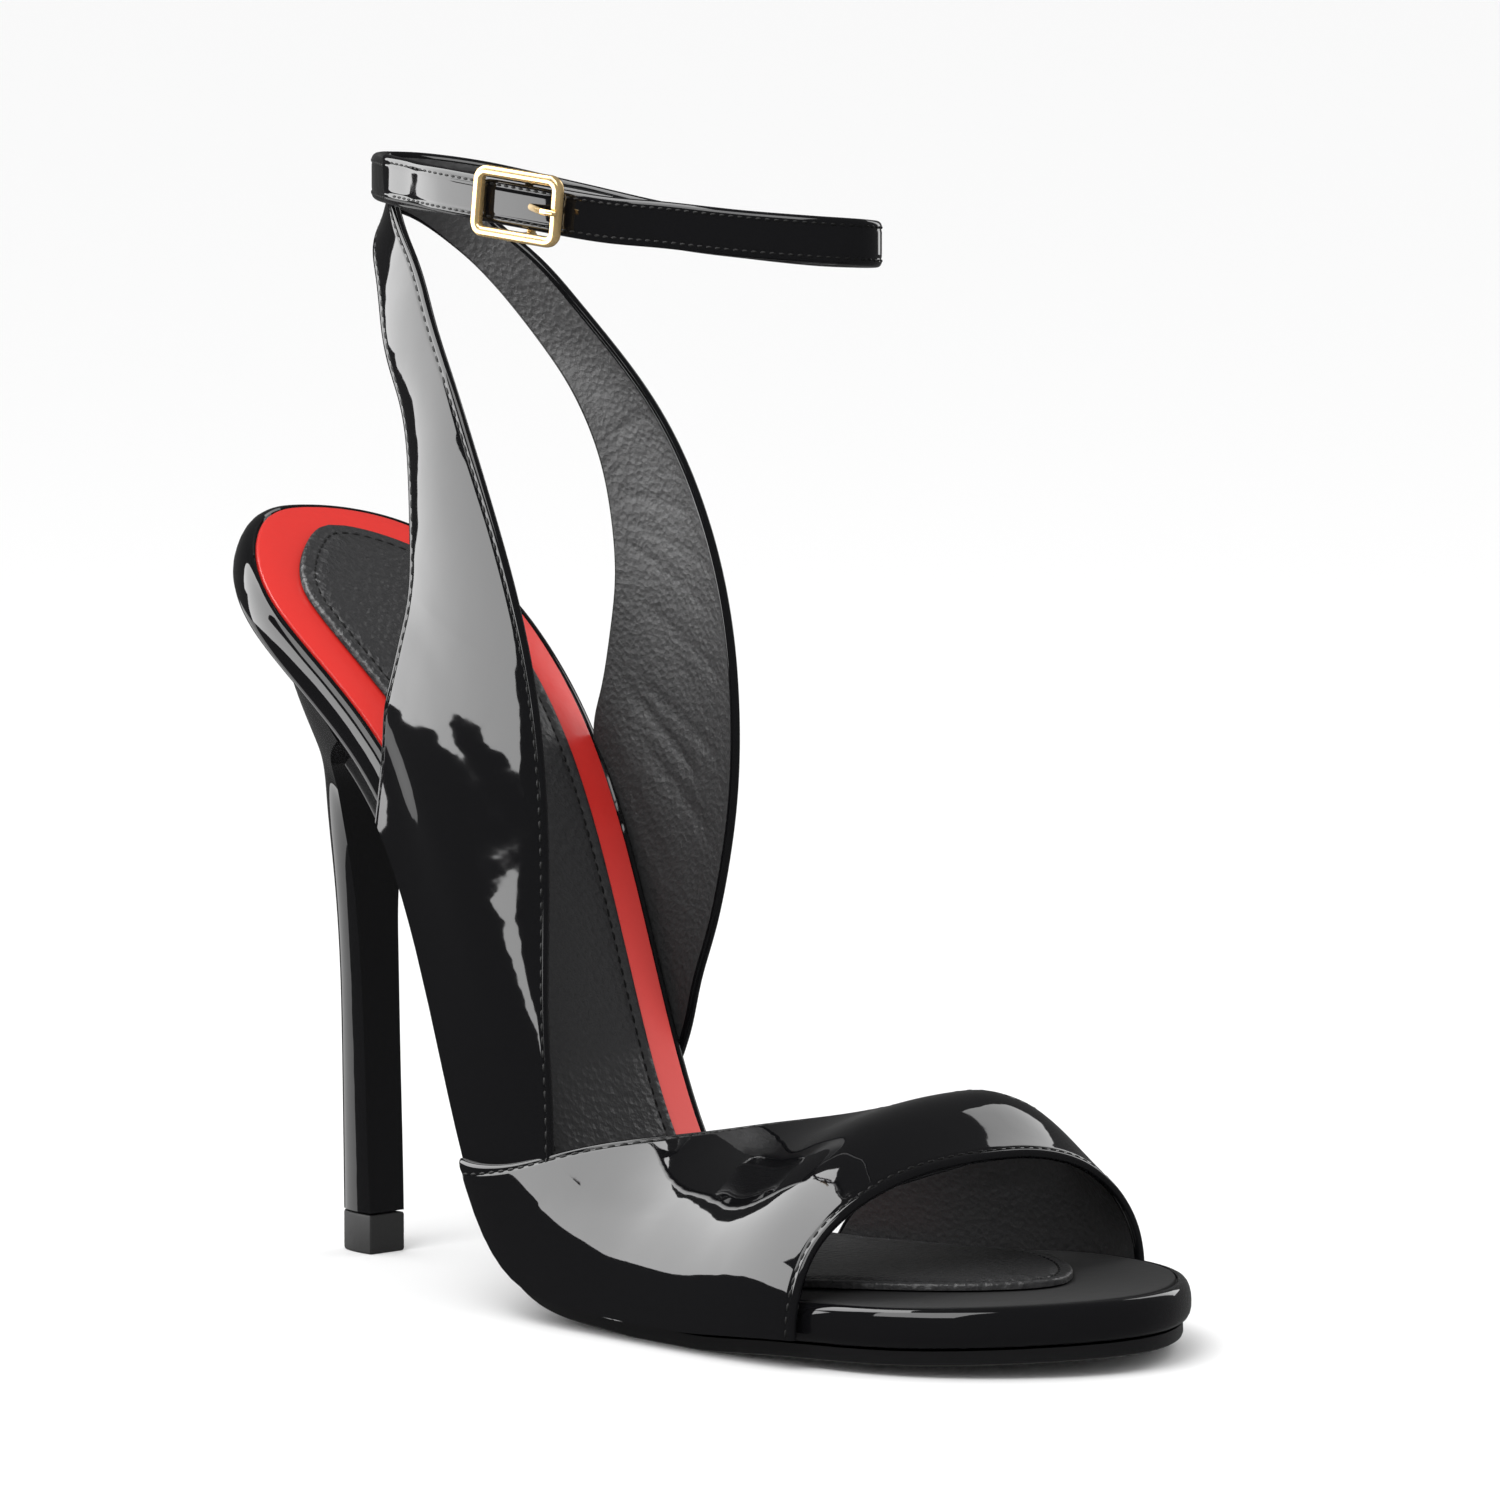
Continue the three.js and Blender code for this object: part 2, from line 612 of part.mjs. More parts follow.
// Ankle strap: one long band whose free end lies over its buckle end
const rowPoint = (row) =>
  new THREE.Vector3(sole_length * row.along, (seat_width / 2) * row.out, sling_height * row.high);
const strap_round = strap_line.map(rowPoint);
const strap_free = strap_free_end.map(({ row, clear, rise }) => {
  const low = Math.floor(row);
  const place = strap_round[low].clone().lerp(strap_round[low + 1], row - low);
  const ahead = strap_round[Math.max(low - 1, 0)].clone().sub(strap_round[low + 1]);
  const out = new THREE.Vector3(ahead.y, -ahead.x, 0).normalize();
  return place.addScaledVector(out, strap_thickness + clear).add(new THREE.Vector3(0, 0, rise));
});
const strap_path = new THREE.CatmullRomCurve3([...strap_round, ...strap_free], false, "centripetal");
function band(path, from, to, steps, width, thickness) {
  const rows = [];
  for (let j = 0; j <= steps; j++) {
    const at = from + ((to - from) * j) / steps;
    const point = path.getPointAt(at);
    const ahead = path.getTangentAt(at);
    const leg = new THREE.Vector3(ahead.y, -ahead.x, 0).normalize();
    const up = ahead.clone().cross(leg).normalize();
    const row = [];
    for (const side of [-1, 1])
      row.push(
        point.clone().addScaledVector(leg, thickness / 2).addScaledVector(up, (side * width) / 2),
      );
    rows.push(row);
  }
  return sheet(rows, thickness, false);
}
const strap_steps = 112;
const strap_band = band(strap_path, 0, 1, strap_steps, strap_width, strap_thickness);

// Buckle: its own axes run ahead along the strap, up, and out from the leg, from the middle of the under strap
const hinge_row = 1;
const buckle_ahead = strap_round[hinge_row - 1].clone().sub(strap_round[hinge_row + 1]).normalize();
const buckle_out = buckle_ahead.clone().cross(new THREE.Vector3(0, 0, 1)).normalize();
const buckle_up = buckle_out.clone().cross(buckle_ahead);
const buckle_frame_axes = new THREE.Matrix4()
  .makeBasis(buckle_ahead, buckle_up, buckle_out)
  .setPosition(strap_round[hinge_row]);

// Levels of the buckle parts above the middle of the under strap
const hinge_low = strap_thickness / 2 + seat_gap;
const hinge_high = hinge_low + hinge_bar;
const frame_low = hinge_high + seat_gap + strap_thickness + seat_gap;
const frame_high = frame_low + buckle_bar;

function roundedRectangle(length, height, radius, path) {
  const x = length / 2;
  const y = height / 2;
  path.moveTo(-x + radius, -y);
  path.lineTo(x - radius, -y);
  path.quadraticCurveTo(x, -y, x, -y + radius);
  path.lineTo(x, y - radius);
  path.quadraticCurveTo(x, y, x - radius, y);
  path.lineTo(-x + radius, y);
  path.quadraticCurveTo(-x, y, -x, y - radius);
  path.lineTo(-x, -y + radius);
  path.quadraticCurveTo(-x, -y, -x + radius, -y);
  return path;
}
const frame_shape = roundedRectangle(
  buckle_length - 2 * frame_bevel,
  buckle_height - 2 * frame_bevel,
  buckle_round,
  new THREE.Shape(),
);
frame_shape.holes.push(
  roundedRectangle(
    buckle_length - 2 * buckle_bar + 2 * frame_bevel,
    buckle_height - 2 * buckle_bar + 2 * frame_bevel,
    buckle_round / 2,
    new THREE.Path(),
  ),
);
const frame_ring = new THREE.ExtrudeGeometry(frame_shape, {
  depth: buckle_bar - 2 * frame_bevel,
  bevelEnabled: true,
  bevelThickness: frame_bevel,
  bevelSize: frame_bevel,
  bevelSegments: 3,
  curveSegments: 6,
});
frame_ring.translate(0, 0, frame_low + frame_bevel);
// The hinge bar runs under the free end of the strap, and a lug at each end joins it to the frame
const lug_inner = strap_width / 2 + 2 * seat_gap;
const lug_width = buckle_height / 2 - lug_inner - frame_bevel;
const hinge = new THREE.BoxGeometry(hinge_bar, 2 * (lug_inner + lug_width), hinge_bar);
hinge.translate(0, 0, (hinge_low + hinge_high) / 2);
const lug_top = frame_low + buckle_bar / 2;
const lugs = [-1, 1].map((side) => {
  const lug = new THREE.BoxGeometry(hinge_bar, lug_width, lug_top - hinge_low);
  return lug.translate(0, side * (lug_inner + lug_width / 2), (lug_top + hinge_low) / 2);
});
const buckle_frame = [hinge, ...lugs].reduce(
  (body, piece) => body.add(toManifold(piece)),
  toManifold(frame_ring),
);

// Prong: stands on the hinge bar, comes out through the slot in the strap and rests over the front bar
const prong_tip = buckle_length / 2 + prong_reach;
const prong_rest = buckle_length / 2 - buckle_bar - prong_thickness / 2;
const prong_side = new THREE.Shape();
prong_side.moveTo(-hinge_bar / 2, hinge_high + seat_gap);
prong_side.lineTo(hinge_bar / 2, hinge_high + seat_gap);
prong_side.lineTo(prong_rest, frame_high + seat_gap);
prong_side.lineTo(prong_tip, frame_high + seat_gap);
prong_side.lineTo(prong_tip, frame_high + seat_gap + prong_thickness * 0.7);
prong_side.lineTo(prong_rest - prong_thickness / 3, frame_high + seat_gap + prong_thickness);
prong_side.lineTo(-hinge_bar / 2, hinge_high + seat_gap + prong_thickness);
const prong = new THREE.ExtrudeGeometry(prong_side, { depth: prong_width, bevelEnabled: false });
prong.rotateX(Math.PI / 2);
prong.translate(0, prong_width / 2, 0);

// The slot in the free end of the strap that the prong comes through
const slot_start = -hinge_bar / 2 - seat_gap;
const slot_end = slot_start + slot_length;
const slot_cut = new THREE.BoxGeometry(slot_end - slot_start, prong_width + 2 * seat_gap, frame_high);
slot_cut.translate((slot_end + slot_start) / 2, 0, hinge_low + frame_high / 2);
slot_cut.applyMatrix4(buckle_frame_axes);
const ankle_strap = toManifold(strap_band).subtract(toManifold(slot_cut));

// Materials
const finish = (color, roughness, metalness) =>
  new THREE.MeshStandardMaterial({ color, roughness, metalness });
const patent = finish(0x0c0c0d, 0.06, 0);
const lining = finish(0x2c2c2e, 0.5, 0);
const red_leather = finish(0xe43a30, 0.42, 0);
const resin = finish(0x141415, 0.45, 0);
const rubber = finish(0x2b2b2b, 0.7, 0);
const gold = finish(0xe2bd6a, 0.18, 1);

const shoe = new THREE.Group();
function place(name, geometry, material) {
  const mesh = new THREE.Mesh(geometry, material);
  mesh.name = name;
  shoe.add(mesh);
}
place("outsole", outsole, resin);
place("footbed_board", footbed, patent);
place("insole_cover", insole, red_leather);
place("insole_pad", insole_pad, lining);
place("heel", heel, patent);
place("top_lift", top_lift, rubber);
place("upper", toGeometry(upper), patent);
place("ankle_strap", toGeometry(ankle_strap), patent);
place("buckle_frame", toGeometry(buckle_frame).applyMatrix4(buckle_frame_axes), gold);
place("buckle_prong", prong.applyMatrix4(buckle_frame_axes), gold);

// The middle of the outline on the floor is the origin
const reach = new THREE.Box3().setFromObject(shoe);
const middle = reach.getCenter(new THREE.Vector3());
shoe.position.set(-middle.x, -middle.y, -reach.min.z);

export default shoe;
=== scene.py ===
# High-heeled patent leather sandal for the right foot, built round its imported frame.
# Tables are in millimetres from the back rim of the board: along to the toe, across to the inner side, height.
import math

import bmesh
import bpy
from mathutils import Matrix, Vector


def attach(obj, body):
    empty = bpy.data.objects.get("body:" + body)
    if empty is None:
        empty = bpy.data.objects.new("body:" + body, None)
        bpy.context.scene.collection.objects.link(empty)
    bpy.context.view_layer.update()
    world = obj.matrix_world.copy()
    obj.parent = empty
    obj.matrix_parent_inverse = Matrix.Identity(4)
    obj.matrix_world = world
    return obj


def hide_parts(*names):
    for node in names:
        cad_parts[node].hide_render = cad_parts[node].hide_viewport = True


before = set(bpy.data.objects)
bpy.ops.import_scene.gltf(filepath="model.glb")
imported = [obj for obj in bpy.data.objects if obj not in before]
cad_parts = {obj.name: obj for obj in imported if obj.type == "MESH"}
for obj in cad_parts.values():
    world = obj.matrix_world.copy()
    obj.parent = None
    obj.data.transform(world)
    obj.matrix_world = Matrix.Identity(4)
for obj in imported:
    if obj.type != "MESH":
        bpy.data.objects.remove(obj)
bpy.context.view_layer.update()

# Footbed board: a stiff insole board with its shank, curved from the seat down to the toe.
# Black patent leather is wrapped round its edge, cemented over the top, and turned in underneath.
sole_length = 195.0
ball_width = 73.0
heel_height = 115.0
board_thickness = 6.1
outsole_thickness = 2.3
seat_gap = 0.3
origin_along = 97.78
origin_across = 0.105
board_stations = 200
# share along the sole, height of the underside in shares of the heel height
bottom_line = (
    (0, 1), (0.04, 0.969), (0.08, 0.928), (0.12, 0.878), (0.18, 0.791), (0.24, 0.688), (0.3, 0.545),
    (0.34, 0.415), (0.38, 0.268), (0.42, 0.142), (0.46, 0.068), (0.5, 0.0375), (0.56, 0.027),
    (0.61, 0.0222), (0.66, 0.0213), (0.7, 0.0242), (0.76, 0.0315), (0.82, 0.0355), (0.88, 0.0378), (1, 0.047),
)
# turn from heel to toe in ninths, half widths in shares of the ball width: outer side, inner side
plan_outline = (
    (0, 0, 0), (1, 0.197, 0.245), (2, 0.352, 0.375), (3, 0.322, 0.331), (4, 0.41, 0.232),
    (5, 0.46, 0.375), (6, 0.482, 0.482), (7, 0.422, 0.425), (8, 0.222, 0.215), (9, 0, 0),
)
# inset from the outline, share of the board's thickness
board_edge = (
    (3.0, 0), (1.7, 0), (1.1, 0.02), (0.6, 0.075), (0.25, 0.17), (0.05, 0.3), (0, 0.45), (0.03, 0.6),
    (0.2, 0.75), (0.5, 0.87), (0.9, 0.95), (1.35, 0.99), (1.7, 1), (1.95, 0.97), (2.05, 0.86), (3.2, 0.85),
)


def smooth_curve(rows, column):
    """A natural cubic curve through one column of a table, over its first column."""
    xs = [row[0] for row in rows]
    ys = [row[column] for row in rows]
    last = len(xs) - 1
    bend = [0.0] * (last + 1)
    load = [0.0] * (last + 1)
    for i in range(1, last):
        share = (xs[i] - xs[i - 1]) / (xs[i + 1] - xs[i - 1])
        down = share * bend[i - 1] + 2
        turn = (ys[i + 1] - ys[i]) / (xs[i + 1] - xs[i]) - (ys[i] - ys[i - 1]) / (xs[i] - xs[i - 1])
        bend[i] = (share - 1) / down
        load[i] = (6 * turn / (xs[i + 1] - xs[i - 1]) - share * load[i - 1]) / down
    for i in range(last - 1, 0, -1):
        bend[i] = bend[i] * bend[i + 1] + load[i]

    def read(at):
        held = min(max(at, xs[0]), xs[last])
        i = 1
        while i < last and xs[i] < held:
            i += 1
        span = xs[i] - xs[i - 1]
        a = (xs[i] - held) / span
        b = 1 - a
        sag = ((a**3 - a) * bend[i - 1] + (b**3 - b) * bend[i]) * span * span / 6
        return a * ys[i - 1] + b * ys[i] + sag

    return read


def spot(x, y, z):
    return Vector(((x - origin_along) / 1000, (y - origin_across) / 1000, z / 1000))


bottom_share = smooth_curve(bottom_line, 1)
outer_share = smooth_curve(plan_outline, 1)
inner_share = smooth_curve(plan_outline, 2)


def board_height(x):
    return max(outsole_thickness + seat_gap, heel_height * bottom_share(x / sole_length))


def on_board(x, y, rise):
    step = 0.5
    low = max(x - step, 0)
    high = min(x + step, sole_length)
    slope = (board_height(high) - board_height(low)) / (high - low)
    size = math.hypot(1, slope)
    return Vector((x - slope * rise / size, y, board_height(x) + rise / size))


def turn_at(x):
    return math.acos(1 - 2 * min(max(x, 0), sole_length) / sole_length) / math.pi


def outer_width(x):
    return ball_width * outer_share(9 * turn_at(x))


def inner_width(x):
    return ball_width * inner_share(9 * turn_at(x))


def rim_point(turn, side, inset, rise, half, start=0.0, end=1.0):
    """A point of an outline at a turn from heel to toe, moved in by inset and lifted off the underside."""
    def bare(at):
        x = sole_length * (1 - math.cos(math.pi * at)) / 2
        return x, side * half(x)
    step = 0.003
    x, y = bare(turn)
    low = bare(max(turn - step, start))
    high = bare(min(turn + step, end))
    size = math.hypot(high[0] - low[0], high[1] - low[1]) or 1
    return on_board(
        x + side * (high[1] - low[1]) / size * inset,
        y - side * (high[0] - low[0]) / size * inset,
        rise,
    )


def skin(name, around, along, place, part=None, sharp=40):
    """A grid carried to place(u, v), its seam merged and its open ends closed. part(u, v) gives a face's finish."""
    bm = bmesh.new()
    bmesh.ops.create_grid(bm, x_segments=around, y_segments=along, size=0.5)
    if part:
        for face in bm.faces:
            middle = face.calc_center_median()
            face.material_index = part(middle.x + 0.5, middle.y + 0.5)
    for vert in bm.verts:
        x, y, z = place(vert.co.x + 0.5, vert.co.y + 0.5)
        vert.co = spot(x, y, z)
    bmesh.ops.remove_doubles(bm, verts=bm.verts, dist=2e-6)
    bmesh.ops.dissolve_degenerate(bm, edges=bm.edges, dist=1e-6)
    bmesh.ops.holes_fill(bm, edges=[edge for edge in bm.edges if edge.is_boundary], sides=0)
    bmesh.ops.recalc_face_normals(bm, faces=bm.faces)
    return piece_of(name, bm, sharp)


def piece_of(name, bm, sharp=40):
    mesh = bpy.data.meshes.new(name)
    bm.to_mesh(mesh)
    bm.free()
    piece = bpy.data.objects.new(name, mesh)
    bpy.context.scene.collection.objects.link(piece)
    for face in mesh.polygons:
        face.use_smooth = True
    mesh.set_sharp_from_angle(angle=math.radians(sharp))
    return piece


def slab(name, rows, outer, inner, start, end, stations=board_stations, flats=8):
    """A closed slab on the board: rows of (inset, rise) run up the outer edge, over, and down the inner edge."""
    loop = [(0, inset, rise) for inset, rise in rows]
    loop += [(k / flats, *rows[-1]) for k in range(1, flats)]
    loop += [(1, inset, rise) for inset, rise in reversed(rows)]
    loop += [(1 - k / flats, *rows[0]) for k in range(1, flats)]
    first = turn_at(start)
    last = turn_at(end)

    def place(u, v):
        share, inset, rise = loop[round(u * len(loop)) % len(loop)]
        turn = first + (last - first) * v
        near = rim_point(turn, -1, inset, rise, outer, first, last)
        far = rim_point(turn, 1, inset, rise, inner, first, last)
        return near.lerp(far, share)

    return skin(name, len(loop), stations, place)


class Signal:
    """A shader socket that adds its own maths nodes."""

    def __init__(self, tree, socket):
        self.tree = tree
        self.socket = socket

    def node(self, kind, settings=None, sockets=None, output=0):
        made = self.tree.nodes.new(kind)
        for key, value in (settings or {}).items():
            if key == "stops":
                while len(made.color_ramp.elements) < len(value):
                    made.color_ramp.elements.new(0.5)
                for stop, (at, color) in zip(made.color_ramp.elements, value):
                    stop.position = at
                    stop.color = color
            else:
                setattr(made, key, value)
        for key, value in (sockets or {}).items():
            if isinstance(value, Signal):
                self.tree.links.new(value.socket, made.inputs[key])
            else:
                made.inputs[key].default_value = value
        return Signal(self.tree, made.outputs[output])

    def maths(self, operation, first, second=0.0):
        return self.node("ShaderNodeMath", {"operation": operation}, {0: first, 1: second})

    def __add__(self, other):
        return self.maths("ADD", self, other)

    __radd__ = __add__

    def __mul__(self, other):
        return self.maths("MULTIPLY", self, other)

    __rmul__ = __mul__

    def __sub__(self, other):
        return self.maths("SUBTRACT", self, other)

    def __rsub__(self, other):
        return self.maths("SUBTRACT", other, self)

    def clamp(self):
        return self.node("ShaderNodeMath", {"operation": "ADD", "use_clamp": True}, {0: self, 1: 0.0})


def finish(name, color, roughness, metallic=0.0, specular=0.5, coat=0.0, coat_roughness=0.03):
    """A new material, its shader and its object coordinates."""
    material = bpy.data.materials.new(name)
    material.use_nodes = True
    tree = material.node_tree
    shader = tree.nodes["Principled BSDF"]
    shader.inputs["Base Color"].default_value = (*color, 1)
    shader.inputs["Roughness"].default_value = roughness
    shader.inputs["Metallic"].default_value = metallic
    shader.inputs["Specular IOR Level"].default_value = specular
    shader.inputs["Coat Weight"].default_value = coat
    shader.inputs["Coat Roughness"].default_value = coat_roughness
    coords = tree.nodes.new("ShaderNodeTexCoord")
    return material, shader, Signal(tree, coords.outputs["Object"])


def grain(place, scale, detail=2.0, roughness=0.5, stretch=(1, 1, 1)):
    """Noise over the piece, about 0 to 1, with the given number of spots in a metre."""
    spread = place.node("ShaderNodeMapping", {}, {"Vector": place, "Scale": stretch})
    return place.node("ShaderNodeTexNoise", {}, {
        "Vector": spread, "Scale": scale, "Detail": detail, "Roughness": roughness,
    })


def emboss(shader, height, depth, strength=1.0):
    bump = height.node("ShaderNodeBump", {}, {"Height": height, "Distance": depth, "Strength": strength})
    height.tree.links.new(bump.socket, shader.inputs["Normal"])


patent, shader, place = finish("black_patent", (0.0035, 0.0035, 0.004), 0.035)
emboss(shader, grain(place, 42, 2.0) + 0.28 * grain(place, 120, 1.0) + 0.05 * grain(place, 340, 1.0), 0.00024)


def wear(piece, name, node_names, *materials):
    for material in materials:
        piece.data.materials.append(material)
    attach(piece, "root")
    if node_names:
        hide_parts(*node_names)


board_rows = [(inset, share * board_thickness) for inset, share in board_edge]
board = slab("footbed_wrap", board_rows, outer_width, inner_width, 0, sole_length)
wear(board, "patent_leather", ["footbed_board"], patent)

# Outsole: a thin leather sole cemented under the board, from the heel breast to the toe.
# Its edge is inked black and set back a little from the wrapped edge above it.
outsole_start = 43.0
outsole_inset = 1.4
outsole_rows = (
    (outsole_inset + 2.4, -seat_gap - outsole_thickness), (outsole_inset + 0.75, -seat_gap - outsole_thickness),
    (outsole_inset + 0.2, -seat_gap - outsole_thickness * 0.9),
    (outsole_inset, -seat_gap - outsole_thickness * 0.7), (outsole_inset, -seat_gap),
)
outsole_leather, shader, place = finish("outsole_leather", (0.006, 0.006, 0.0065), 0.22)
emboss(shader, grain(place, 260, 3.0), 0.00004)
outsole = slab("outsole_sheet", outsole_rows, outer_width, inner_width, outsole_start, sole_length)
wear(outsole, "outsole_leather", ["outsole"], outsole_leather)

# Insole cover: smooth red leather laid over the board just inside the wrapped rim.
# From the seat down the shank its red is painted paler and pinker as painted sheen. Under the vamp it changes to the
# black lining leather that shows in the toe opening.
insole_inset = 2.3
insole_thickness = 0.8
insole_low = board_thickness * 0.85 + seat_gap
toe_lining_start = 0.024
insole_rows = (
    (insole_inset, insole_low), (insole_inset, insole_low + insole_thickness * 0.6),
    (insole_inset + 0.15, insole_low + insole_thickness * 0.88), (insole_inset + 0.5, insole_low + insole_thickness),
)
insole_leather, shader, place = finish("red_leather", (0.7, 0.03, 0.022), 0.34)
along = place.node("ShaderNodeSeparateXYZ", {}, {"Vector": place})
# Painted sheen: the ramp keeps the red deep at the seat and turns it paler and pinker down the shank.
red_and_painted_sheen = place.node("ShaderNodeValToRGB", {"stops": (
    (0.0, (0.6, 0.022, 0.016, 1)), (0.3, (0.61, 0.025, 0.02, 1)), (0.52, (0.66, 0.14, 0.13, 1)),
)}, {"Fac": (along + 0.098) * 5.1})
toe_part = ((along - toe_lining_start) * 1000).clamp()
both = place.node("ShaderNodeMix", {"data_type": "RGBA"}, {
    "Factor": toe_part, 6: red_and_painted_sheen, 7: (0.01, 0.01, 0.0105, 1),
}, output=2)
place.tree.links.new(both.socket, shader.inputs["Base Color"])
place.tree.links.new((0.3 + 0.5 * toe_part).socket, shader.inputs["Roughness"])
emboss(shader, grain(place, 380, 3.0), 0.00006)
insole = slab("insole_cover_sheet", insole_rows, outer_width, inner_width, 0, sole_length)
wear(insole, "red_leather", ["insole_cover"], insole_leather)
insole.visible_glossy = False

# Insole pad: soft foam under grained black leather, glued along the middle of the insole.
# A row of stitches runs just inside its edge and presses a groove into it.
pad_inset = 9.0
pad_start = 9.0
pad_taper_start = 118.0
pad_end = 176.0
pad_heel_round = 14.0
pad_thickness = 1.2
pad_low = insole_low + insole_thickness + seat_gap
pad_stitch_inset = 2.1
pad_rows = (
    (0, pad_low), (0, pad_low + pad_thickness * 0.5), (0.12, pad_low + pad_thickness * 0.72),
    (0.4, pad_low + pad_thickness * 0.86), (0.9, pad_low + pad_thickness * 0.93),
    (1.5, pad_low + pad_thickness * 0.9), (pad_stitch_inset, pad_low + pad_thickness * 0.72),
    (2.7, pad_low + pad_thickness * 0.95), (3.6, pad_low + pad_thickness * 1.12),
    (5.5, pad_low + pad_thickness * 1.22), (8, pad_low + pad_thickness * 1.28),
)


def pad_width(full, x):
    share = max(0, (x - pad_taper_start) / (pad_end - pad_taper_start))
    start = min(1, (x - pad_start) / pad_heel_round)
    return (full - pad_inset) * math.sqrt(max(0, 1 - share**2.2)) * math.sqrt(max(0, 1 - (1 - start) ** 2))


def pad_outer(x):
    return pad_width(outer_width(x), x)


def pad_inner(x):
    return pad_width(inner_width(x), x)


pad_leather, shader, place = finish("pad_leather", (0.026, 0.026, 0.027), 0.38)
cells = place.node("ShaderNodeTexVoronoi", {}, {"Vector": place, "Scale": 760.0}, output=0)
emboss(shader, cells * 0.7 + grain(place, 1500, 3.0) * 0.6 + grain(place, 60, 2.0) * 0.4, 0.0003)
pad = slab("insole_pad_cushion", pad_rows, pad_outer, pad_inner, pad_start, pad_end)
wear(pad, "lining_leather", ["insole_pad"], pad_leather)

thread, shader, place = finish("black_thread", (0.004, 0.004, 0.004), 0.5, specular=0.25)


def stitches(name, spots, pitch, size, material=thread, lift=0.05):
    """Short rounded stitches along a line of (point, outward) pairs, one every pitch millimetres."""
    bm = bmesh.new()
    travelled = 0.0
    wanted = pitch / 2
    length, width = size
    for (a, out), (b, _) in zip(spots, spots[1:]):
        step = (b - a).length
        while step > 0 and wanted <= travelled + step:
            ahead = (b - a).normalized()
            side = out.cross(ahead).normalized()
            up = ahead.cross(side).normalized()
            centre = a.lerp(b, (wanted - travelled) / step) + up * lift
            turn = Matrix((ahead, side, up)).transposed().to_4x4()
            scale = Matrix.Diagonal((length / 2000, width / 2000, width * 0.6 / 2000, 1))
            move = Matrix.Translation(spot(*centre))
            bmesh.ops.create_uvsphere(bm, u_segments=8, v_segments=5, radius=1, matrix=move @ turn @ scale)
            wanted += pitch
        travelled += step
    row = piece_of(name, bm)
    wear(row, "patent_leather", [], material)
    return row


def pad_line():
    first = turn_at(pad_start)
    last = turn_at(pad_end)
    outer_side = []
    inner_side = []
    steps = 400
    for k in range(steps + 1):
        turn = first + (last - first) * k / steps
        level = pad_low + pad_thickness * 0.72
        for line, side, half in ((outer_side, -1, pad_outer), (inner_side, 1, pad_inner)):
            low = rim_point(turn, side, pad_stitch_inset, level, half, first, last)
            high = rim_point(turn, side, pad_stitch_inset, level + 1, half, first, last)
            line.append((low, high - low))
    return outer_side + inner_side[::-1]


stitches("pad_stitches", pad_line(), 2.0, (1.45, 0.55))

# Heel: a slim moulded core covered in the same patent leather, screwed up under the seat.
# Its front, the breast, is flat. The cup on top spreads out to the rim of the board.
seat_width = 52.0
heel_centre = -1.0
heel_fullness = 2.15
heel_cup_start = 0.5
# share of the heel height, breast line in shares of the sole, width and depth in shares of the seat width
heel_sections = (
    (0.0583, 0.141, 0.14, 0.181), (0.113, 0.1395, 0.146, 0.175), (0.27, 0.136, 0.151, 0.165),
    (0.426, 0.132, 0.163, 0.158), (0.53, 0.129, 0.195, 0.16), (0.635, 0.131, 0.288, 0.167),
    (0.713, 0.1375, 0.385, 0.192), (0.774, 0.151, 0.519, 0.298), (0.826, 0.174, 0.673, 0.423),
    (0.88, 0.208, 0.846, 0.56),
)
heel_breast = smooth_curve(heel_sections, 1)
heel_width = smooth_curve(heel_sections, 2)
heel_depth = smooth_curve(heel_sections, 3)
heel_low = heel_sections[0][0]
heel_high = heel_sections[-1][0]
round_share = 0.74


def heel_outline(u, high, shrink=0.0):
    """A point of the D-shaped section: most of u runs round the back, the rest along the flat breast."""
    breast = sole_length * heel_breast(high) - shrink
    half = seat_width * heel_width(high) / 2 - shrink
    depth = seat_width * heel_depth(high) - 2 * shrink
    if u < round_share:
        angle = math.pi * u / round_share
        c = math.cos(angle)
        s = math.sin(angle)
        x = breast - depth * abs(s) ** (2 / heel_fullness)
        return x, heel_centre + half * math.copysign(abs(c) ** (2 / heel_fullness), c)
    return breast, heel_centre - half + 2 * half * (u - round_share) / (1 - round_share)


def heel_place(u, v):
    high = heel_low + (heel_high - heel_low) * v
    x, y = heel_outline(u % 1, high)
    top_x, top_y = heel_outline(u % 1, heel_high)
    seat = on_board(top_x, top_y, -seat_gap)
    lean = max(0, (v - heel_cup_start) / (1 - heel_cup_start)) ** 2
    level = heel_height * high + (seat.z - heel_height * heel_high) * lean
    return x + (seat.x - top_x) * lean**4, y, level


heel = skin("heel_cover", 100, 120, heel_place, sharp=32)
wear(heel, "patent_leather", ["heel"], patent)

# Top lift: a small block of hard black rubber pinned under the heel, its edges just broken.
lift_height = 6.4
lift_rows = ((0.35, 0), (0.08, 0.15), (0, 0.45), (0, 6.0), (0.12, 6.3), (0.4, lift_height))
lift_rubber, shader, place = finish("lift_rubber", (0.022, 0.022, 0.022), 0.6)
emboss(shader, grain(place, 900, 3.0), 0.00005)


def lift_place(u, v):
    shrink, level = lift_rows[round(v * (len(lift_rows) - 1))]
    return *heel_outline(u % 1, heel_low, shrink), level


lift = skin("top_lift_block", 72, len(lift_rows) - 1, lift_place)
wear(lift, "lift_rubber", ["top_lift"], lift_rubber)

# Upper: a vamp band over the toes and two tall wings that meet behind the ankle, patent outside, lining inside.
# The patent is turned over the edges and held by a row of stitches, and the lower ends are lasted under the board.
sling_height = 177.0
upper_wall = 1.6
wing_bow = 2.2
vamp_lap = 0.7
vamp_fullness = 2.2
upper_foot = 0.7
edge_steps = (0, 0.06, 0.2, 0.42, 0.7, 0.95, 1.15, 1.35, 1.55, 1.75, 2.0, 2.5)
stitch_inset = 1.35
stitch_trough = 0.22
probe = 0.004
lasted_share = 0.4
hidden_edge = 0.75
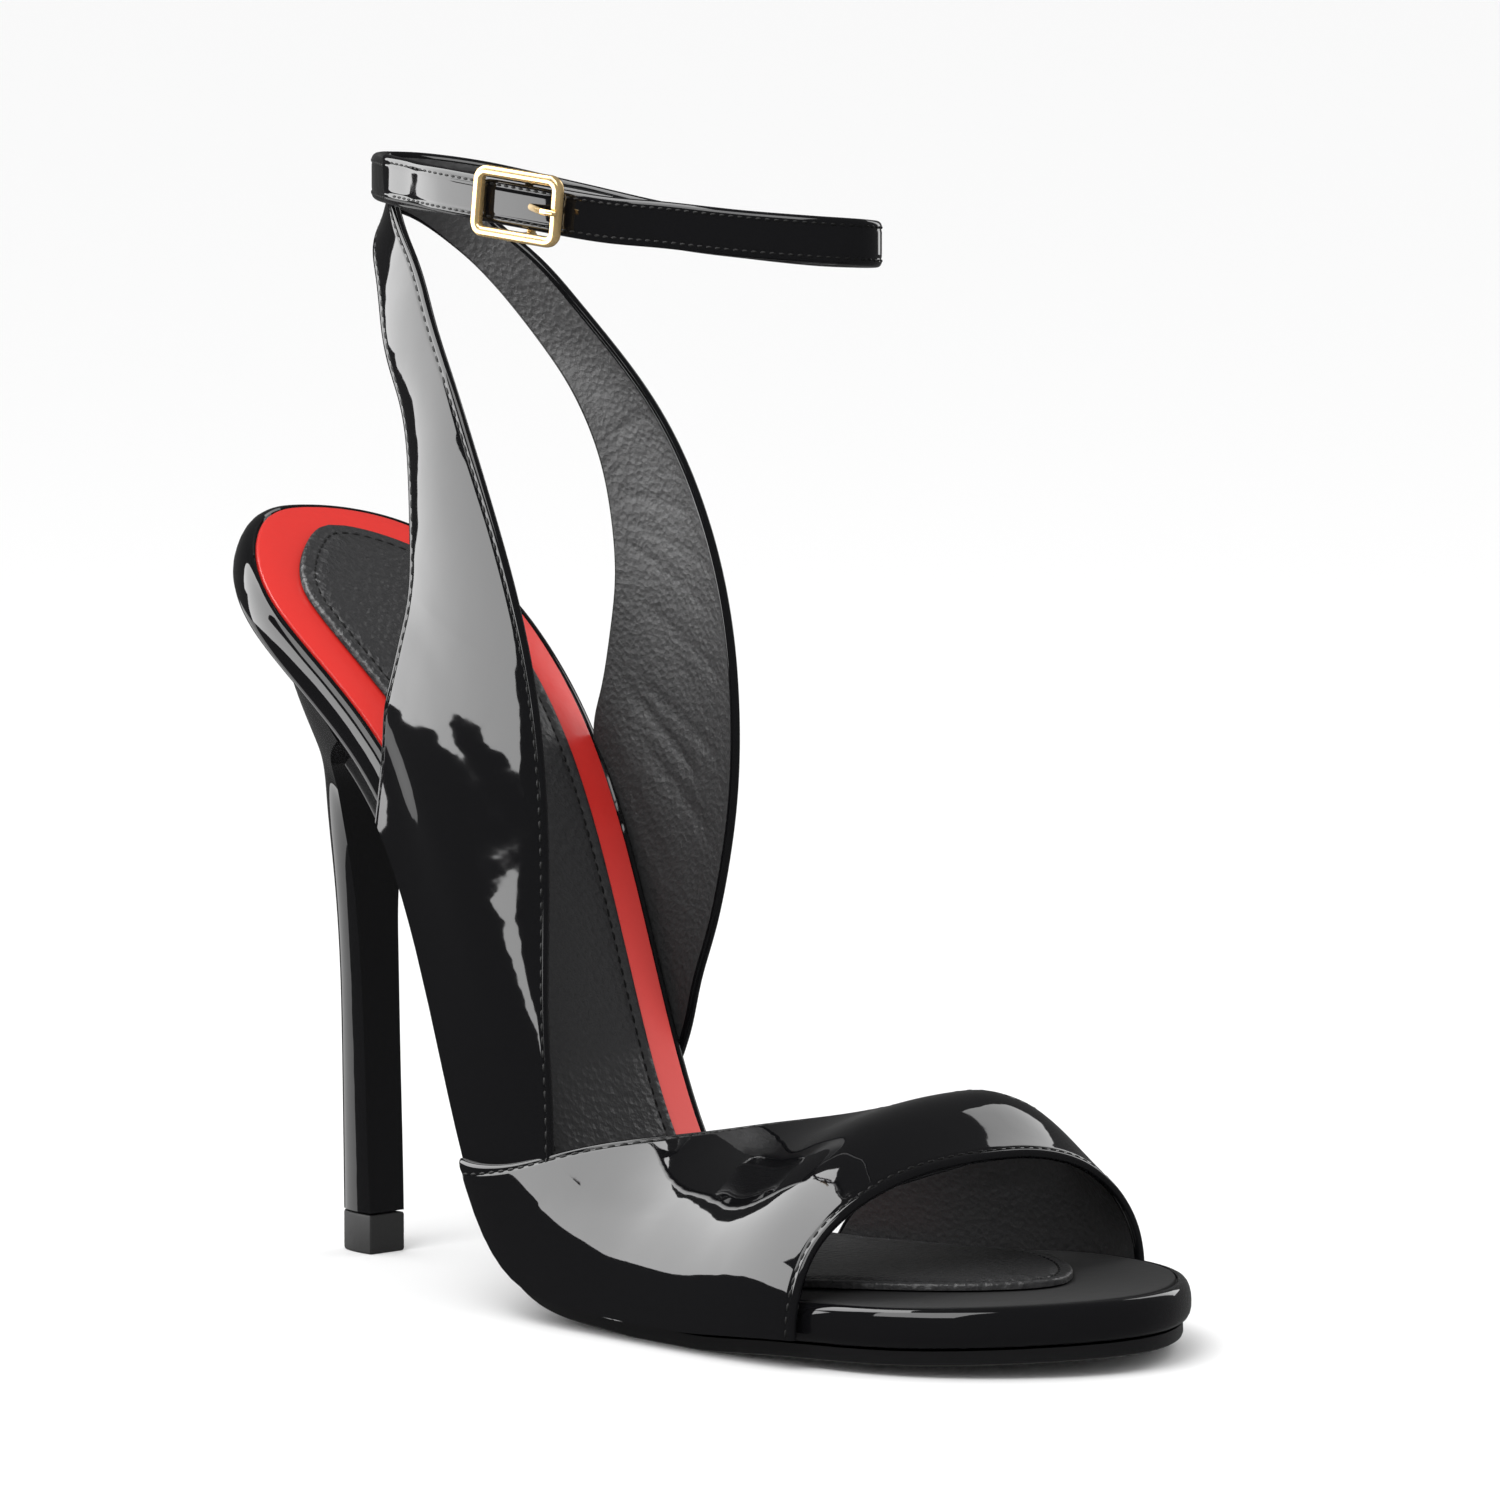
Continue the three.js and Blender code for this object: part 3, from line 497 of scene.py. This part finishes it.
# share up the wing, then for its rear and its front edge: share along, share out, share of the sling height
outer_wing = (
    (0, 0.262, 0.942, 0.43, 0.513, 1.385, 0.025), (0.1, 0.264, 0.908, 0.486, 0.497, 1.192, 0.153),
    (0.2, 0.268, 0.923, 0.52, 0.477, 1.058, 0.254), (0.3, 0.277, 0.923, 0.554, 0.463, 0.942, 0.35),
    (0.4, 0.285, 0.908, 0.588, 0.453, 0.885, 0.452), (0.5, 0.291, 0.885, 0.627, 0.438, 0.869, 0.548),
    (0.6, 0.289, 0.862, 0.678, 0.413, 0.885, 0.644), (0.7, 0.28, 0.815, 0.734, 0.372, 0.862, 0.74),
    (0.8, 0.258, 0.738, 0.791, 0.325, 0.773, 0.819), (0.88, 0.223, 0.635, 0.847, 0.282, 0.638, 0.873),
    (0.93, 0.19, 0.462, 0.898, 0.244, 0.512, 0.918), (0.96, 0.166, 0.308, 0.928, 0.21, 0.404, 0.949),
    (0.98, 0.154, 0.138, 0.945, 0.181, 0.27, 0.977), (1, 0.147, -0.019, 0.952, 0.147, -0.019, 1),
)
inner_wing = (
    (0, 0.262, 0.942, 0.43, 0.379, 0.712, 0.175), (0.1, 0.259, 0.923, 0.486, 0.402, 0.692, 0.22),
    (0.2, 0.268, 0.923, 0.52, 0.413, 0.712, 0.266), (0.3, 0.277, 0.923, 0.554, 0.425, 0.762, 0.316),
    (0.4, 0.285, 0.908, 0.588, 0.435, 0.815, 0.384), (0.5, 0.291, 0.885, 0.627, 0.441, 0.842, 0.469),
    (0.6, 0.289, 0.862, 0.678, 0.431, 0.862, 0.582), (0.7, 0.28, 0.815, 0.734, 0.395, 0.881, 0.692),
    (0.8, 0.258, 0.738, 0.791, 0.341, 0.8, 0.794), *outer_wing[9:],
)
# share along, crest height in shares of the heel height, crest place in shares of the ball width
vamp_crest = (
    (0.4, 0.5, 0.15), (0.446, 0.458, 0.16), (0.497, 0.41, 0.165), (0.574, 0.316, 0.165), (0.636, 0.293, 0.17),
    (0.703, 0.301, 0.17), (0.76, 0.318, 0.15), (0.795, 0.29, 0.09), (0.83, 0.255, 0.04), (0.87, 0.23, 0.03),
)
# share over the foot from the outer side, rear edge and front edge along
vamp_edges = (
    (0, 0.4, 0.808), (0.08, 0.44, 0.808), (0.155, 0.497, 0.809), (0.285, 0.574, 0.818), (0.38, 0.636, 0.824),
    (0.457, 0.697, 0.828), (0.552, 0.75, 0.829), (0.626, 0.759, 0.828), (0.7, 0.744, 0.826),
    (0.786, 0.665, 0.826), (0.874, 0.58, 0.825), (1, 0.525, 0.82),
)
lining, shader, place = finish("black_lining", (0.036, 0.036, 0.037), 0.46)
cells = place.node("ShaderNodeTexVoronoi", {}, {"Vector": place, "Scale": 900.0})
folds = grain(place, 90, 3.0, 0.55, (1.6, 1, 0.55))
emboss(shader, cells * 0.5 + grain(place, 1600, 3.0) * 0.5 + folds * 1.4, 0.0002)


def crease_press(point, creases):
    """How far the creases push a point: each is a soft trough between two points, ending in nothing."""
    press = 0.0
    for start, end, width, depth in creases:
        line = end - start
        share = (point - start).dot(line) / line.length_squared
        if -0.2 < share < 1.2:
            away = (point - start - line * share).length / width
            press += depth * math.exp(-away * away) * max(0, 1 - (2 * share - 1) ** 2) ** 0.5
    return press


def strip(name, surface, steps, across=18, wall=upper_wall, out=1, groove=0.14, turned=hidden_edge, folds=((), ())):
    """Turned-edge leather: surface(a, t) is its outer face, a from edge to edge and t along it.

    folds holds the creases of the outer and of the inner face as (a, t, a, t, width, depth)."""
    face_creases = [
        [(surface(a, t), surface(b, s), width, depth) for a, t, b, s, width, depth in rows] for rows in folds
    ]
    loop = [(0, "edge", d) for d in edge_steps] + [(0, "middle", k / across) for k in range(1, across)]
    loop += [(0, "far", d) for d in reversed(edge_steps)]
    count = len(loop)
    loop += [(1, kind, d) for _, kind, d in reversed(loop[1:-1])]
    half = wall / 2

    def place(u, v):
        under, kind, d = loop[round(u * len(loop)) % len(loop)]
        start = surface(0, v)
        end = surface(1, v)
        width = (end - start).length
        reach = edge_steps[-1] / width
        if kind == "edge":
            a = d / width
        elif kind == "far":
            a = 1 - d / width
        else:
            a = reach + (1 - 2 * reach) * d
            d = 99.0
        low = max(v - probe, 0)
        high = min(v + probe, 1)
        left = max(a - probe, 0)
        right = min(a + probe, 1)
        cross = (surface(right, v) - surface(left, v)).cross(surface(a, high) - surface(a, low))
        normal = cross.normalized() * out
        drop = half - math.sqrt(max(0, half**2 - max(0, half - d) ** 2))
        crease = crease_press(surface(a, v), face_creases[under])
        if under:
            return surface(a, v) - normal * (wall - drop - crease)
        press = groove * math.exp(-(((d - stitch_inset) / stitch_trough) ** 2))
        return surface(a, v) - normal * (drop + press + crease)

    def part(u, v):
        under, kind, d = loop[min(int(u * len(loop)), len(loop) - 1)]
        return 1 if under and (kind == "middle" or d >= turned) else 0

    return skin(name, len(loop), steps, place, part, sharp=60)


def edge_line(surface, far, steps=500, inset=stitch_inset, from_t=0.0, to_t=1.0, out=1, back=0.14):
    line = []
    for k in range(steps + 1):
        t = from_t + (to_t - from_t) * k / steps
        width = (surface(1, t) - surface(0, t)).length
        a = 1 - inset / width if far else inset / width
        cross = (surface(min(a + probe, 1), t) - surface(max(a - probe, 0), t)).cross(
            surface(a, min(t + probe, 1)) - surface(a, max(t - probe, 0))
        )
        normal = cross.normalized() * out
        line.append((surface(a, t) - normal * back, normal))
    return line


def wing_surface(table, side, width):
    columns = [smooth_curve(table, k) for k in range(1, 7)]
    spread = upper_wall + seat_gap
    first = table[0]

    def free(a, up):
        rear, rear_out, rear_high, front, front_out, front_high = (column(up) for column in columns)
        low = Vector((sole_length * rear, side * seat_width / 2 * rear_out, sling_height * rear_high))
        high = Vector((sole_length * front, side * seat_width / 2 * front_out, sling_height * front_high))
        point = low.lerp(high, a)
        point.y += side * wing_bow * 4 * a * (1 - a) * min(1, 2 * (1 - up))
        return point

    def surface(a, up):
        point = free(a, up)
        fade = max(0, 1 - up / lasted_share) ** 2
        if fade > 0:
            x = sole_length * (first[1] + (first[4] - first[1]) * a)
            point += (on_board(x, side * (width(x) + spread), upper_foot) - free(a, 0)) * fade
        return point

    return surface


crest_height = smooth_curve(vamp_crest, 1)
crest_out = smooth_curve(vamp_crest, 2)
vamp_rear = smooth_curve(vamp_edges, 1)
vamp_front = smooth_curve(vamp_edges, 2)


def vamp_surface(a, t):
    x = sole_length * (vamp_rear(t) + (vamp_front(t) - vamp_rear(t)) * a)
    c = math.cos(math.pi * t)
    s = math.sin(math.pi * t)
    power = 2 / vamp_fullness
    spread = upper_wall + seat_gap + vamp_lap
    middle = ball_width * crest_out(x / sole_length)
    side = outer_width(x) + spread + middle if c > 0 else inner_width(x) + spread - middle
    base = board_height(x) + upper_foot
    crest = heel_height * crest_height(x / sole_length)
    y = middle - math.copysign(abs(c) ** power, c) * side
    return Vector((x, y, base + (crest - base) * abs(s) ** power))


outer_surface = wing_surface(outer_wing, -1, outer_width)
inner_surface = wing_surface(inner_wing, 1, inner_width)
# creases of the outer and the inner face: from and to as shares over and along the piece, width, depth
vamp_folds = (
    ((0.7, 0.36, 0.95, 0.25, 1.0, 0.16), (0.62, 0.31, 0.9, 0.21, 1.3, 0.1), (0.1, 0.1, 0.4, 0.16, 3.0, 0.2)),
    ((0.35, 0.62, 0.9, 0.6, 1.2, 0.25), (0.35, 0.7, 0.9, 0.67, 1.1, 0.22), (0.4, 0.77, 0.92, 0.74, 1.2, 0.25),
     (0.3, 0.84, 0.88, 0.8, 1.4, 0.25), (0.3, 0.54, 0.9, 0.53, 1.3, 0.2)),
)
outer_folds = (
    ((0.05, 0.47, 0.5, 0.42, 2.4, 0.05), (0.3, 0.39, 0.95, 0.34, 2.6, 0.06), (0.1, 0.3, 0.6, 0.22, 2.6, 0.05)), (),
)
inner_folds = ((), (
    (0.15, 0.31, 0.7, 0.4, 1.2, 0.3), (0.2, 0.36, 0.85, 0.47, 1.1, 0.28), (0.3, 0.27, 0.9, 0.38, 1.4, 0.24),
    (0.1, 0.58, 0.8, 0.6, 0.9, 0.2), (0.15, 0.615, 0.9, 0.645, 0.8, 0.18), (0.1, 0.65, 0.85, 0.69, 0.9, 0.18),
    (0.2, 0.51, 0.9, 0.55, 1.2, 0.2), (0.2, 0.74, 0.85, 0.78, 1.0, 0.14), (0.1, 0.14, 0.7, 0.2, 1.8, 0.2),
))
vamp = strip("vamp_band", vamp_surface, 220, across=30, folds=vamp_folds)
outer_piece = strip("outer_wing_leather", outer_surface, 220, across=22, folds=outer_folds)
inner_piece = strip("inner_wing_leather", inner_surface, 220, across=22, out=-1, folds=inner_folds)
for piece in (vamp, outer_piece, inner_piece):
    wear(piece, "patent_leather", ["upper"], patent, lining)
stitches("vamp_rear_stitches", edge_line(vamp_surface, False), 2.0, (1.3, 0.5))
stitches("vamp_front_stitches", edge_line(vamp_surface, True), 2.0, (1.3, 0.5))
for name, surface, out in (("outer", outer_surface, 1), ("inner", inner_surface, -1)):
    for far, edge in ((False, "rear"), (True, "front")):
        line = edge_line(surface, far, from_t=0.02, to_t=0.985, out=out)
        stitches(f"{name}_wing_{edge}_stitches", line, 2.1, (1.35, 0.5))

# Ankle strap: folded patent leather, stitched along both edges, that runs once round the ankle.
# Its free end lies over the buckle end, held under the side bars of the buckle.
strap_width = 7.2
strap_thickness = 1.8
strap_stitch_inset = 1.05
tail_slant = 1.7
# share along the sole, share out, share of the sling height
strap_round = (
    (0.505, -0.69, 0.961), (0.437, -0.79, 0.9712), (0.35, -0.84, 0.979), (0.277, -0.76, 0.982),
    (0.226, -0.577, 0.984), (0.182, -0.366, 0.985), (0.1525, -0.16, 0.986), (0.1395, 0.015, 0.9855),
    (0.1525, 0.19, 0.984), (0.192, 0.42, 0.977), (0.267, 0.7, 0.959), (0.359, 0.858, 0.942),
    (0.451, 0.865, 0.936), (0.533, 0.777, 0.934), (0.605, 0.6, 0.936), (0.654, 0.385, 0.939),
    (0.6785, 0.185, 0.9415), (0.682, 0, 0.944), (0.664, -0.192, 0.9465), (0.615, -0.442, 0.951),
    (0.559, -0.638, 0.957),
)
# row of the buckle end that the free end lies over, lift off it and rise, in millimetres
strap_free = ((0, 2.5, 0), (1, 3.8, 0), (2, 3.4, 0.5), (2.7, 3, 1), (3.1, 3, 1.3), (3.3, 3.2, 1.5))
strap_spots = [
    Vector((sole_length * along, seat_width / 2 * out, sling_height * high)) for along, out, high in strap_round
]
strap_knots = list(strap_spots)
for row, lift_off, rise in strap_free:
    low = math.floor(row)
    ahead = strap_spots[max(low - 1, 0)] - strap_spots[low + 1]
    out = Vector((ahead.y, -ahead.x, 0)).normalized()
    strap_knots.append(strap_spots[low].lerp(strap_spots[low + 1], row - low) + out * lift_off + Vector((0, 0, rise)))


def strap_curve(knots, per_span=40):
    """Points along a centripetal curve through the knots, with the distance travelled at each."""
    ends = [2 * knots[0] - knots[1], *knots, 2 * knots[-1] - knots[-2]]
    points = []
    for a, b, c, d in zip(ends, ends[1:], ends[2:], ends[3:]):
        ab, bc, cd = ((q - p).length ** 0.5 for p, q in ((a, b), (b, c), (c, d)))
        leave = ((b - a) / ab - (c - a) / (ab + bc) + (c - b) / bc) * bc
        arrive = ((c - b) / bc - (d - b) / (bc + cd) + (d - c) / cd) * bc
        for k in range(per_span):
            t = k / per_span
            points.append(
                b + leave * t + (3 * (c - b) - 2 * leave - arrive) * t * t
                + (2 * (b - c) + leave + arrive) * t**3
            )
    points.append(knots[-1])
    travelled = [0.0]
    for p, q in zip(points, points[1:]):
        travelled.append(travelled[-1] + (q - p).length)
    return points, travelled


strap_points, strap_travel = strap_curve(strap_knots)
strap_length = strap_travel[-1]


def strap_at(distance):
    held = min(max(distance, 0), strap_length)
    low = 0
    high = len(strap_travel) - 1
    while high - low > 1:
        middle = (low + high) // 2
        if strap_travel[middle] <= held:
            low = middle
        else:
            high = middle
    share = (held - strap_travel[low]) / (strap_travel[high] - strap_travel[low])
    return strap_points[low].lerp(strap_points[high], share)


def strap_surface(a, t):
    distance = (strap_length - tail_slant) * t + tail_slant * (a - 0.5) * min(1, max(0, (t - 0.96) / 0.03))
    point = strap_at(distance)
    ahead = (strap_at(distance + 0.6) - strap_at(distance - 0.6)).normalized()
    leg = Vector((ahead.y, -ahead.x, 0)).normalized()
    up = leg.cross(ahead).normalized()
    return point + up * (a - 0.5) * strap_width - leg * strap_thickness / 2


strap = strip("ankle_strap_leather", strap_surface, 420, across=6, wall=strap_thickness, groove=0.1)
wear(strap, "patent_leather", ["ankle_strap"], patent, lining)
for far, edge in ((False, "lower"), (True, "upper")):
    line = edge_line(strap_surface, far, 900, strap_stitch_inset, 0.004, 0.994, back=0.06)
    stitches(f"strap_{edge}_stitches", line, 1.45, (1.0, 0.42))

# Buckle: a polished gold-plated frame on a hinge bar that the buckle end is folded round.
# The prong turns on the bar, comes out through a slot in the free end and rests on the front bar.
buckle_length = 17.5
buckle_height = 11.2
buckle_bar = 1.7
buckle_round = 2.4
hinge_bar = 1.4
prong_width = 1.3
prong_thickness = 0.9
buckle_ahead = (strap_spots[0] - strap_spots[2]).normalized()
buckle_out = buckle_ahead.cross(Vector((0, 0, 1))).normalized()
buckle_up = buckle_out.cross(buckle_ahead)
hinge_level = strap_thickness / 2 + seat_gap + hinge_bar / 2
frame_level = hinge_level + hinge_bar / 2 + seat_gap + strap_thickness + seat_gap + buckle_bar / 2
gold, shader, place = finish("polished_gold", (0.86, 0.62, 0.3), 0.2, metallic=0.8)


def at_buckle(x, y, z):
    return strap_spots[1] + buckle_ahead * x + buckle_up * y + buckle_out * z


def frame_place(u, v):
    half_x = (buckle_length - buckle_bar) / 2
    half_y = (buckle_height - buckle_bar) / 2
    radius = buckle_round - buckle_bar / 2
    straight_x = 2 * (half_x - radius)
    straight_y = 2 * (half_y - radius)
    arc = math.pi / 2 * radius
    around = 2 * (straight_x + straight_y + 2 * arc)
    s = (v % 1) * around
    side = 0
    while True:
        straight = straight_y if side % 2 == 0 else straight_x
        if s <= straight:
            corner = 0.0
            break
        s -= straight
        if s <= arc:
            corner = s / radius
            s = straight
            break
        s -= arc
        side += 1
    reach = half_x if side % 2 == 0 else half_y
    start = (half_y if side % 2 == 0 else half_x) - radius
    turn = side * math.pi / 2
    local_x = reach - radius + radius * math.cos(corner)
    local_y = -start + s + radius * math.sin(corner)
    out_x, out_y = math.cos(corner), math.sin(corner)
    angle = 2 * math.pi * u
    c = math.copysign(abs(math.cos(angle)) ** 0.7, math.cos(angle)) * buckle_bar / 2
    level = frame_level + math.copysign(abs(math.sin(angle)) ** 0.7, math.sin(angle)) * buckle_bar / 2
    x, y = local_x + out_x * c, local_y + out_y * c
    return at_buckle(
        x * math.cos(turn) - y * math.sin(turn), x * math.sin(turn) + y * math.cos(turn), level,
    )


def bar_place(length, level, radius):
    def place(u, v):
        angle = 2 * math.pi * u
        return at_buckle(radius * math.cos(angle), (v - 0.5) * length, level + radius * math.sin(angle))
    return place


prong_line = ((-0.9, 2.9), (-0.2, 3.35), (1.6, 4.5), (4.0, 6.1), (6.0, 7.3), (7.2, 7.55), (8.6, 7.5), (9.05, 7.3))


def prong_place(u, v):
    index = min(v * (len(prong_line) - 1), len(prong_line) - 1.001)
    low = int(index)
    x = prong_line[low][0] + (prong_line[low + 1][0] - prong_line[low][0]) * (index - low)
    z = prong_line[low][1] + (prong_line[low + 1][1] - prong_line[low][1]) * (index - low)
    narrow = 1 - 0.35 * v
    angle = 2 * math.pi * u
    return at_buckle(
        x, prong_width / 2 * narrow * math.cos(angle), z + prong_thickness / 2 * narrow * math.sin(angle),
    )


buckle = skin("buckle_ring", 20, 160, frame_place, sharp=80)
wear(buckle, "gold_metal", ["buckle_frame"], gold)
hinge = skin("hinge_pin", 16, 4, bar_place(9.8, hinge_level, hinge_bar / 2))
wear(hinge, "gold_metal", [], gold)
for side in (-1, 1):
    bm = bmesh.new()
    turn = Matrix((buckle_ahead, buckle_up, buckle_out)).transposed().to_4x4()
    centre = at_buckle(0, side * 4.6, (hinge_level + frame_level) / 2)
    size = Matrix.Diagonal((hinge_bar / 1000, 0.7 / 1000, (frame_level - hinge_level + hinge_bar) / 1000, 1))
    bmesh.ops.create_cube(bm, size=1, matrix=Matrix.Translation(spot(*centre)) @ turn @ size)
    bmesh.ops.bevel(bm, geom=bm.edges, offset=0.0002, segments=2, profile=0.5, affect="EDGES", material=-1)
    lug = piece_of(f"buckle_lug_{'upper' if side > 0 else 'lower'}", bm)
    wear(lug, "gold_metal", [], gold)
prong = skin("buckle_pin", 14, 56, prong_place, sharp=70)
wear(prong, "gold_metal", ["buckle_prong"], gold)

# Studio: a pale floor, soft white light from all round, and soft panels that the patent mirrors.
# One panel stands low and near at the left, one hangs above it, and one stands behind at the right.
floor_material, shader, place = finish("pale_floor", (0.9, 0.9, 0.9), 0.6, specular=0.1)
bm = bmesh.new()
bmesh.ops.create_grid(bm, x_segments=1, y_segments=1, size=40)
floor = piece_of("floor", bm)
floor.data.materials.append(floor_material)
floor.visible_glossy = False

room_white = 1.2
room_in_gloss = 0.1
panel_glow = 6.5
world = bpy.data.worlds.new("studio")
bpy.context.scene.world = world
world.use_nodes = True
tree = world.node_tree
tree.nodes.clear()
path = Signal(tree, tree.nodes.new("ShaderNodeLightPath").outputs["Is Glossy Ray"])
white = path.node("ShaderNodeBackground", {}, {"Color": (1, 1, 1, 1), "Strength": room_white})
dark = path.node("ShaderNodeBackground", {}, {"Color": (1, 1, 1, 1), "Strength": room_in_gloss})
mixed = path.node("ShaderNodeMixShader", {}, {0: path, 1: white, 2: dark})
output = tree.nodes.new("ShaderNodeOutputWorld")
tree.links.new(mixed.socket, output.inputs["Surface"])


def facing(seen_from, turn, rise, distance):
    """The place and turn of a light seen from a point of the shoe, with its face towards that point."""
    turn = math.radians(turn)
    rise = math.radians(rise)
    away = Vector((math.cos(rise) * math.cos(turn), math.cos(rise) * math.sin(turn), math.sin(rise)))
    return Matrix.Translation(Vector(seen_from) + away * distance) @ away.to_track_quat("Z", "Y").to_matrix().to_4x4()


def panel(name, placed, corners, glow):
    """A glowing sheet that only mirrors see. Its corners are across and up from its middle, in metres."""
    light, shader, place = finish(name, (0, 0, 0), 1.0, specular=0.0)
    shader.inputs["Emission Color"].default_value = (1, 1, 1, 1)
    shader.inputs["Emission Strength"].default_value = glow
    bm = bmesh.new()
    bm.faces.new([bm.verts.new((across, up, 0)) for across, up in corners])
    bmesh.ops.transform(bm, matrix=placed, verts=bm.verts)
    glowing = piece_of(name, bm)
    glowing.data.materials.append(light)
    glowing.visible_camera = False
    glowing.visible_diffuse = False
    glowing.visible_shadow = False


def oblong(width, height):
    return [(-width / 2, -height / 2), (width / 2, -height / 2), (width / 2, height / 2), (-width / 2, height / 2)]


left_corners = (
    (-0.13, 0.085), (0.115, 0.09), (0.115, 0.178), (-0.02, 0.178), (-0.04, 0.216), (-0.13, 0.216),
)
panel("left_panel", facing((-0.03, -0.03, 0), 228, 0, 0.2), left_corners, panel_glow)
panel("upper_left_panel", facing((0.045, -0.03, 0.035), 208, 46, 0.6), oblong(0.42, 0.68), panel_glow)
panel("rear_right_panel", facing((0.06, 0.03, 0.04), 104, 26, 0.6), oblong(0.16, 0.4), 2.2)
panel("heel_panel", facing((-0.075, 0, 0.06), 188, -12, 0.3), oblong(0.2, 0.15), 1.4)

soft_key = bpy.data.lights.new("soft_key", "AREA")
soft_key.size = 0.6
soft_key.energy = 5.0
lamp = bpy.data.objects.new("soft_key", soft_key)
lamp.matrix_world = facing((0, 0, 0.1), 285, 50, 0.9)
lamp.visible_camera = False
bpy.context.scene.collection.objects.link(lamp)

camera_turn = 46
camera_down = 5.062
camera_place = spot(1178.55, -1042.60, 236.57)
camera = bpy.data.cameras.new("camera")
camera.sensor_width = 36
camera.lens = 232.38
camera.shift_x = 0.0344
camera.shift_y = -0.0718
camera.clip_end = 200
viewer = bpy.data.objects.new("camera", camera)
viewer.location = camera_place
viewer.rotation_euler = (math.radians(90 - camera_down), 0, math.radians(camera_turn))
bpy.context.scene.collection.objects.link(viewer)
bpy.context.scene.camera = viewer
bpy.context.scene.view_settings.view_transform = "Standard"
